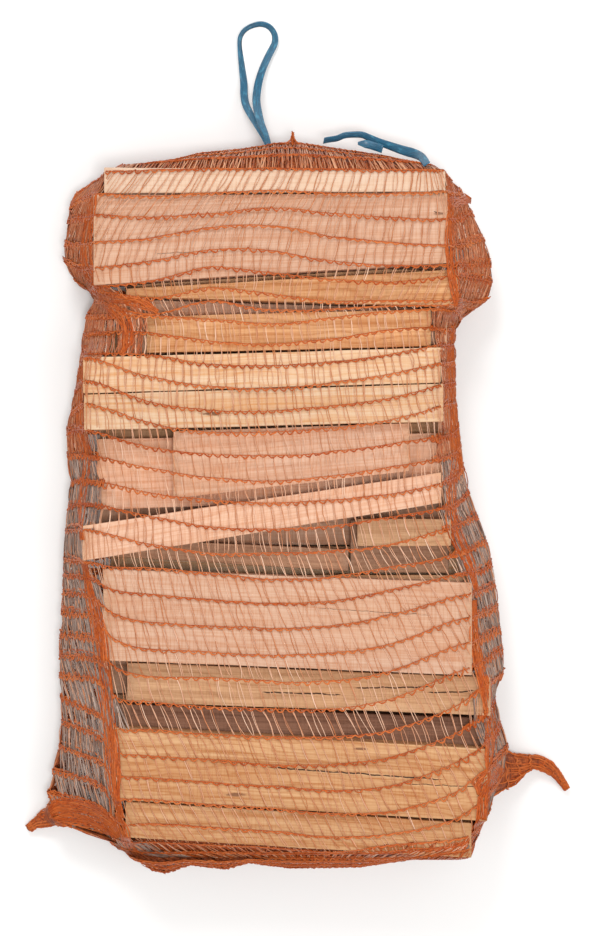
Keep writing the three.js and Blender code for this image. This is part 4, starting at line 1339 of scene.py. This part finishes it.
def makeEar(name, values):
    rings = np.array(values["rings"], dtype=float)
    centre, _ = smoothRoute(rings[:, :3], 2.0)
    count = len(centre)
    t = np.linspace(0, len(rings) - 1, count)
    wide, tall = (np.interp(t, np.arange(len(rings)), rings[:, column]) for column in (3, 4))
    tangent = unit(np.gradient(centre, axis=0))
    side = unit(levelSide(tangent))
    up = np.array([0, 0, 1.0])
    strands = values["strands"]
    start = 2 * np.pi * (np.arange(strands) + rng.uniform(-0.3, 0.3, strands)) / strands
    angle = start[:, None] + 2 * np.pi * values["turns"] * np.linspace(0, 1, count)[None, :]
    depth = rng.uniform(0.35, 1.0, strands)[:, None] + 0.08 * np.sin(np.linspace(0, 20, count))[None, :]
    paths = centre[None] + side[None] * (wide * depth * np.cos(angle))[..., None]
    paths = paths + up * (tall * depth * np.sin(angle))[..., None]
    paths = paths + rng.normal(0, 0.25, paths.shape)
    paths[..., 2] = np.maximum(paths[..., 2], 0.6)
    ear = strandMesh("netEarStrands" + name, paths, np.cross(tangent, up)[None] + 0 * paths, 1.4, 0.7,
                     rng.random(strands) ** 2)
    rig.replaces(ear, values["node"])
    # a core of cloth inside, and cords that lie round the ear
    inner = np.linspace(0.8, 0.85, count)
    core = centre.copy()
    core[:, 2] = np.maximum(core[:, 2], tall * inner + 0.8)
    strandMesh("netEarCore" + name, core[None], side[None], 2 * wide * inner, 2 * tall * inner, [0.2], gatherFinish, 24)
    turn = np.linspace(0, 2 * np.pi, 61)
    hoops, ways = [], []
    for at in np.arange(2.5, count - 1, 5.0):
        k = int(at)
        across, over = wide[k] * 0.98 * np.cos(turn), tall[k] * 0.98 * np.sin(turn)
        hoop = centre[k] + side[k] * across[:, None] + up * over[:, None]
        hoops.append(hoop + tangent[k] * (0.7 * np.sin(turn * 9 + at))[:, None])
        ways.append(tangent[k] + 0 * hoop)
    hoops = np.array(hoops)
    hoops[..., 2] = np.maximum(hoops[..., 2], 0.8)
    strandMesh("netEarCords" + name, hoops, np.array(ways), 1.2, 0.9, rng.random(len(hoops)))


for name, values in earValues.items():
    makeEar(name, values)
print("ears twisted")

# plain pale floor, soft studio lights: each light is x, y, z, size, power
stageValues = {"lights": {"key": (-0.35, 1.25, 1.75, 0.7, 14.0), "fill": (0.9, -0.6, 2.2, 1.6, 13.0),
                          "flash": (0.1, -0.1, 2.1, 0.3, 14.5)}, "world": 0.68, "floorSize": 14, "floorZ": -0.0004,
               "floorColors": ((0.86, 0.86, 0.85, 1), (0.89, 0.89, 0.88, 1))}


def makeStage(values):
    bpy.ops.object.select_all(action="DESELECT")
    bpy.ops.mesh.primitive_plane_add(size=values["floorSize"], location=(0, 0, values["floorZ"]))
    floor = bpy.context.object
    bpy.ops.object.transform_apply(location=True, rotation=False, scale=True)
    floor.name = "paleFloor"
    material, maker, shader = newMaterial("paleFloor")
    clouds = maker.add("TexNoise", {"Scale": 6.0, "Detail": 2.0}).outputs["Fac"]
    maker.put(shader["Base Color"], maker.mixColor(clouds, *values["floorColors"]))
    shader["Roughness"].default_value = 0.9
    floor.data.materials.append(material)
    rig.stage(floor)
    for name, (x, y, z, size, power) in values["lights"].items():
        data = bpy.data.lights.new(name, "AREA")
        data.shape = "DISK"
        data.size = size
        data.energy = power
        light = bpy.data.objects.new(name, data)
        light.location = (x, y, z)
        light.rotation_euler = (math.atan2(math.hypot(x, y), z), 0, math.atan2(-y, -x) - math.pi / 2)
        bpy.context.scene.collection.objects.link(light)
    world = bpy.data.worlds.new("studio")
    world.use_nodes = True
    background = world.node_tree.nodes["Background"].inputs
    background["Color"].default_value = (1, 1, 1, 1)
    background["Strength"].default_value = values["world"]
    bpy.context.scene.world = world

makeStage(stageValues)
bpy.context.scene.view_settings.view_transform = "Standard"  # plain colours, as the photo has
print("stage and lights set")

with open("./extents.json", "w") as out:
    json.dump({"cad": [[float(v) for v in c] for c in cadBox], "visual": [[float(v) for v in c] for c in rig.bounds()]}, out)
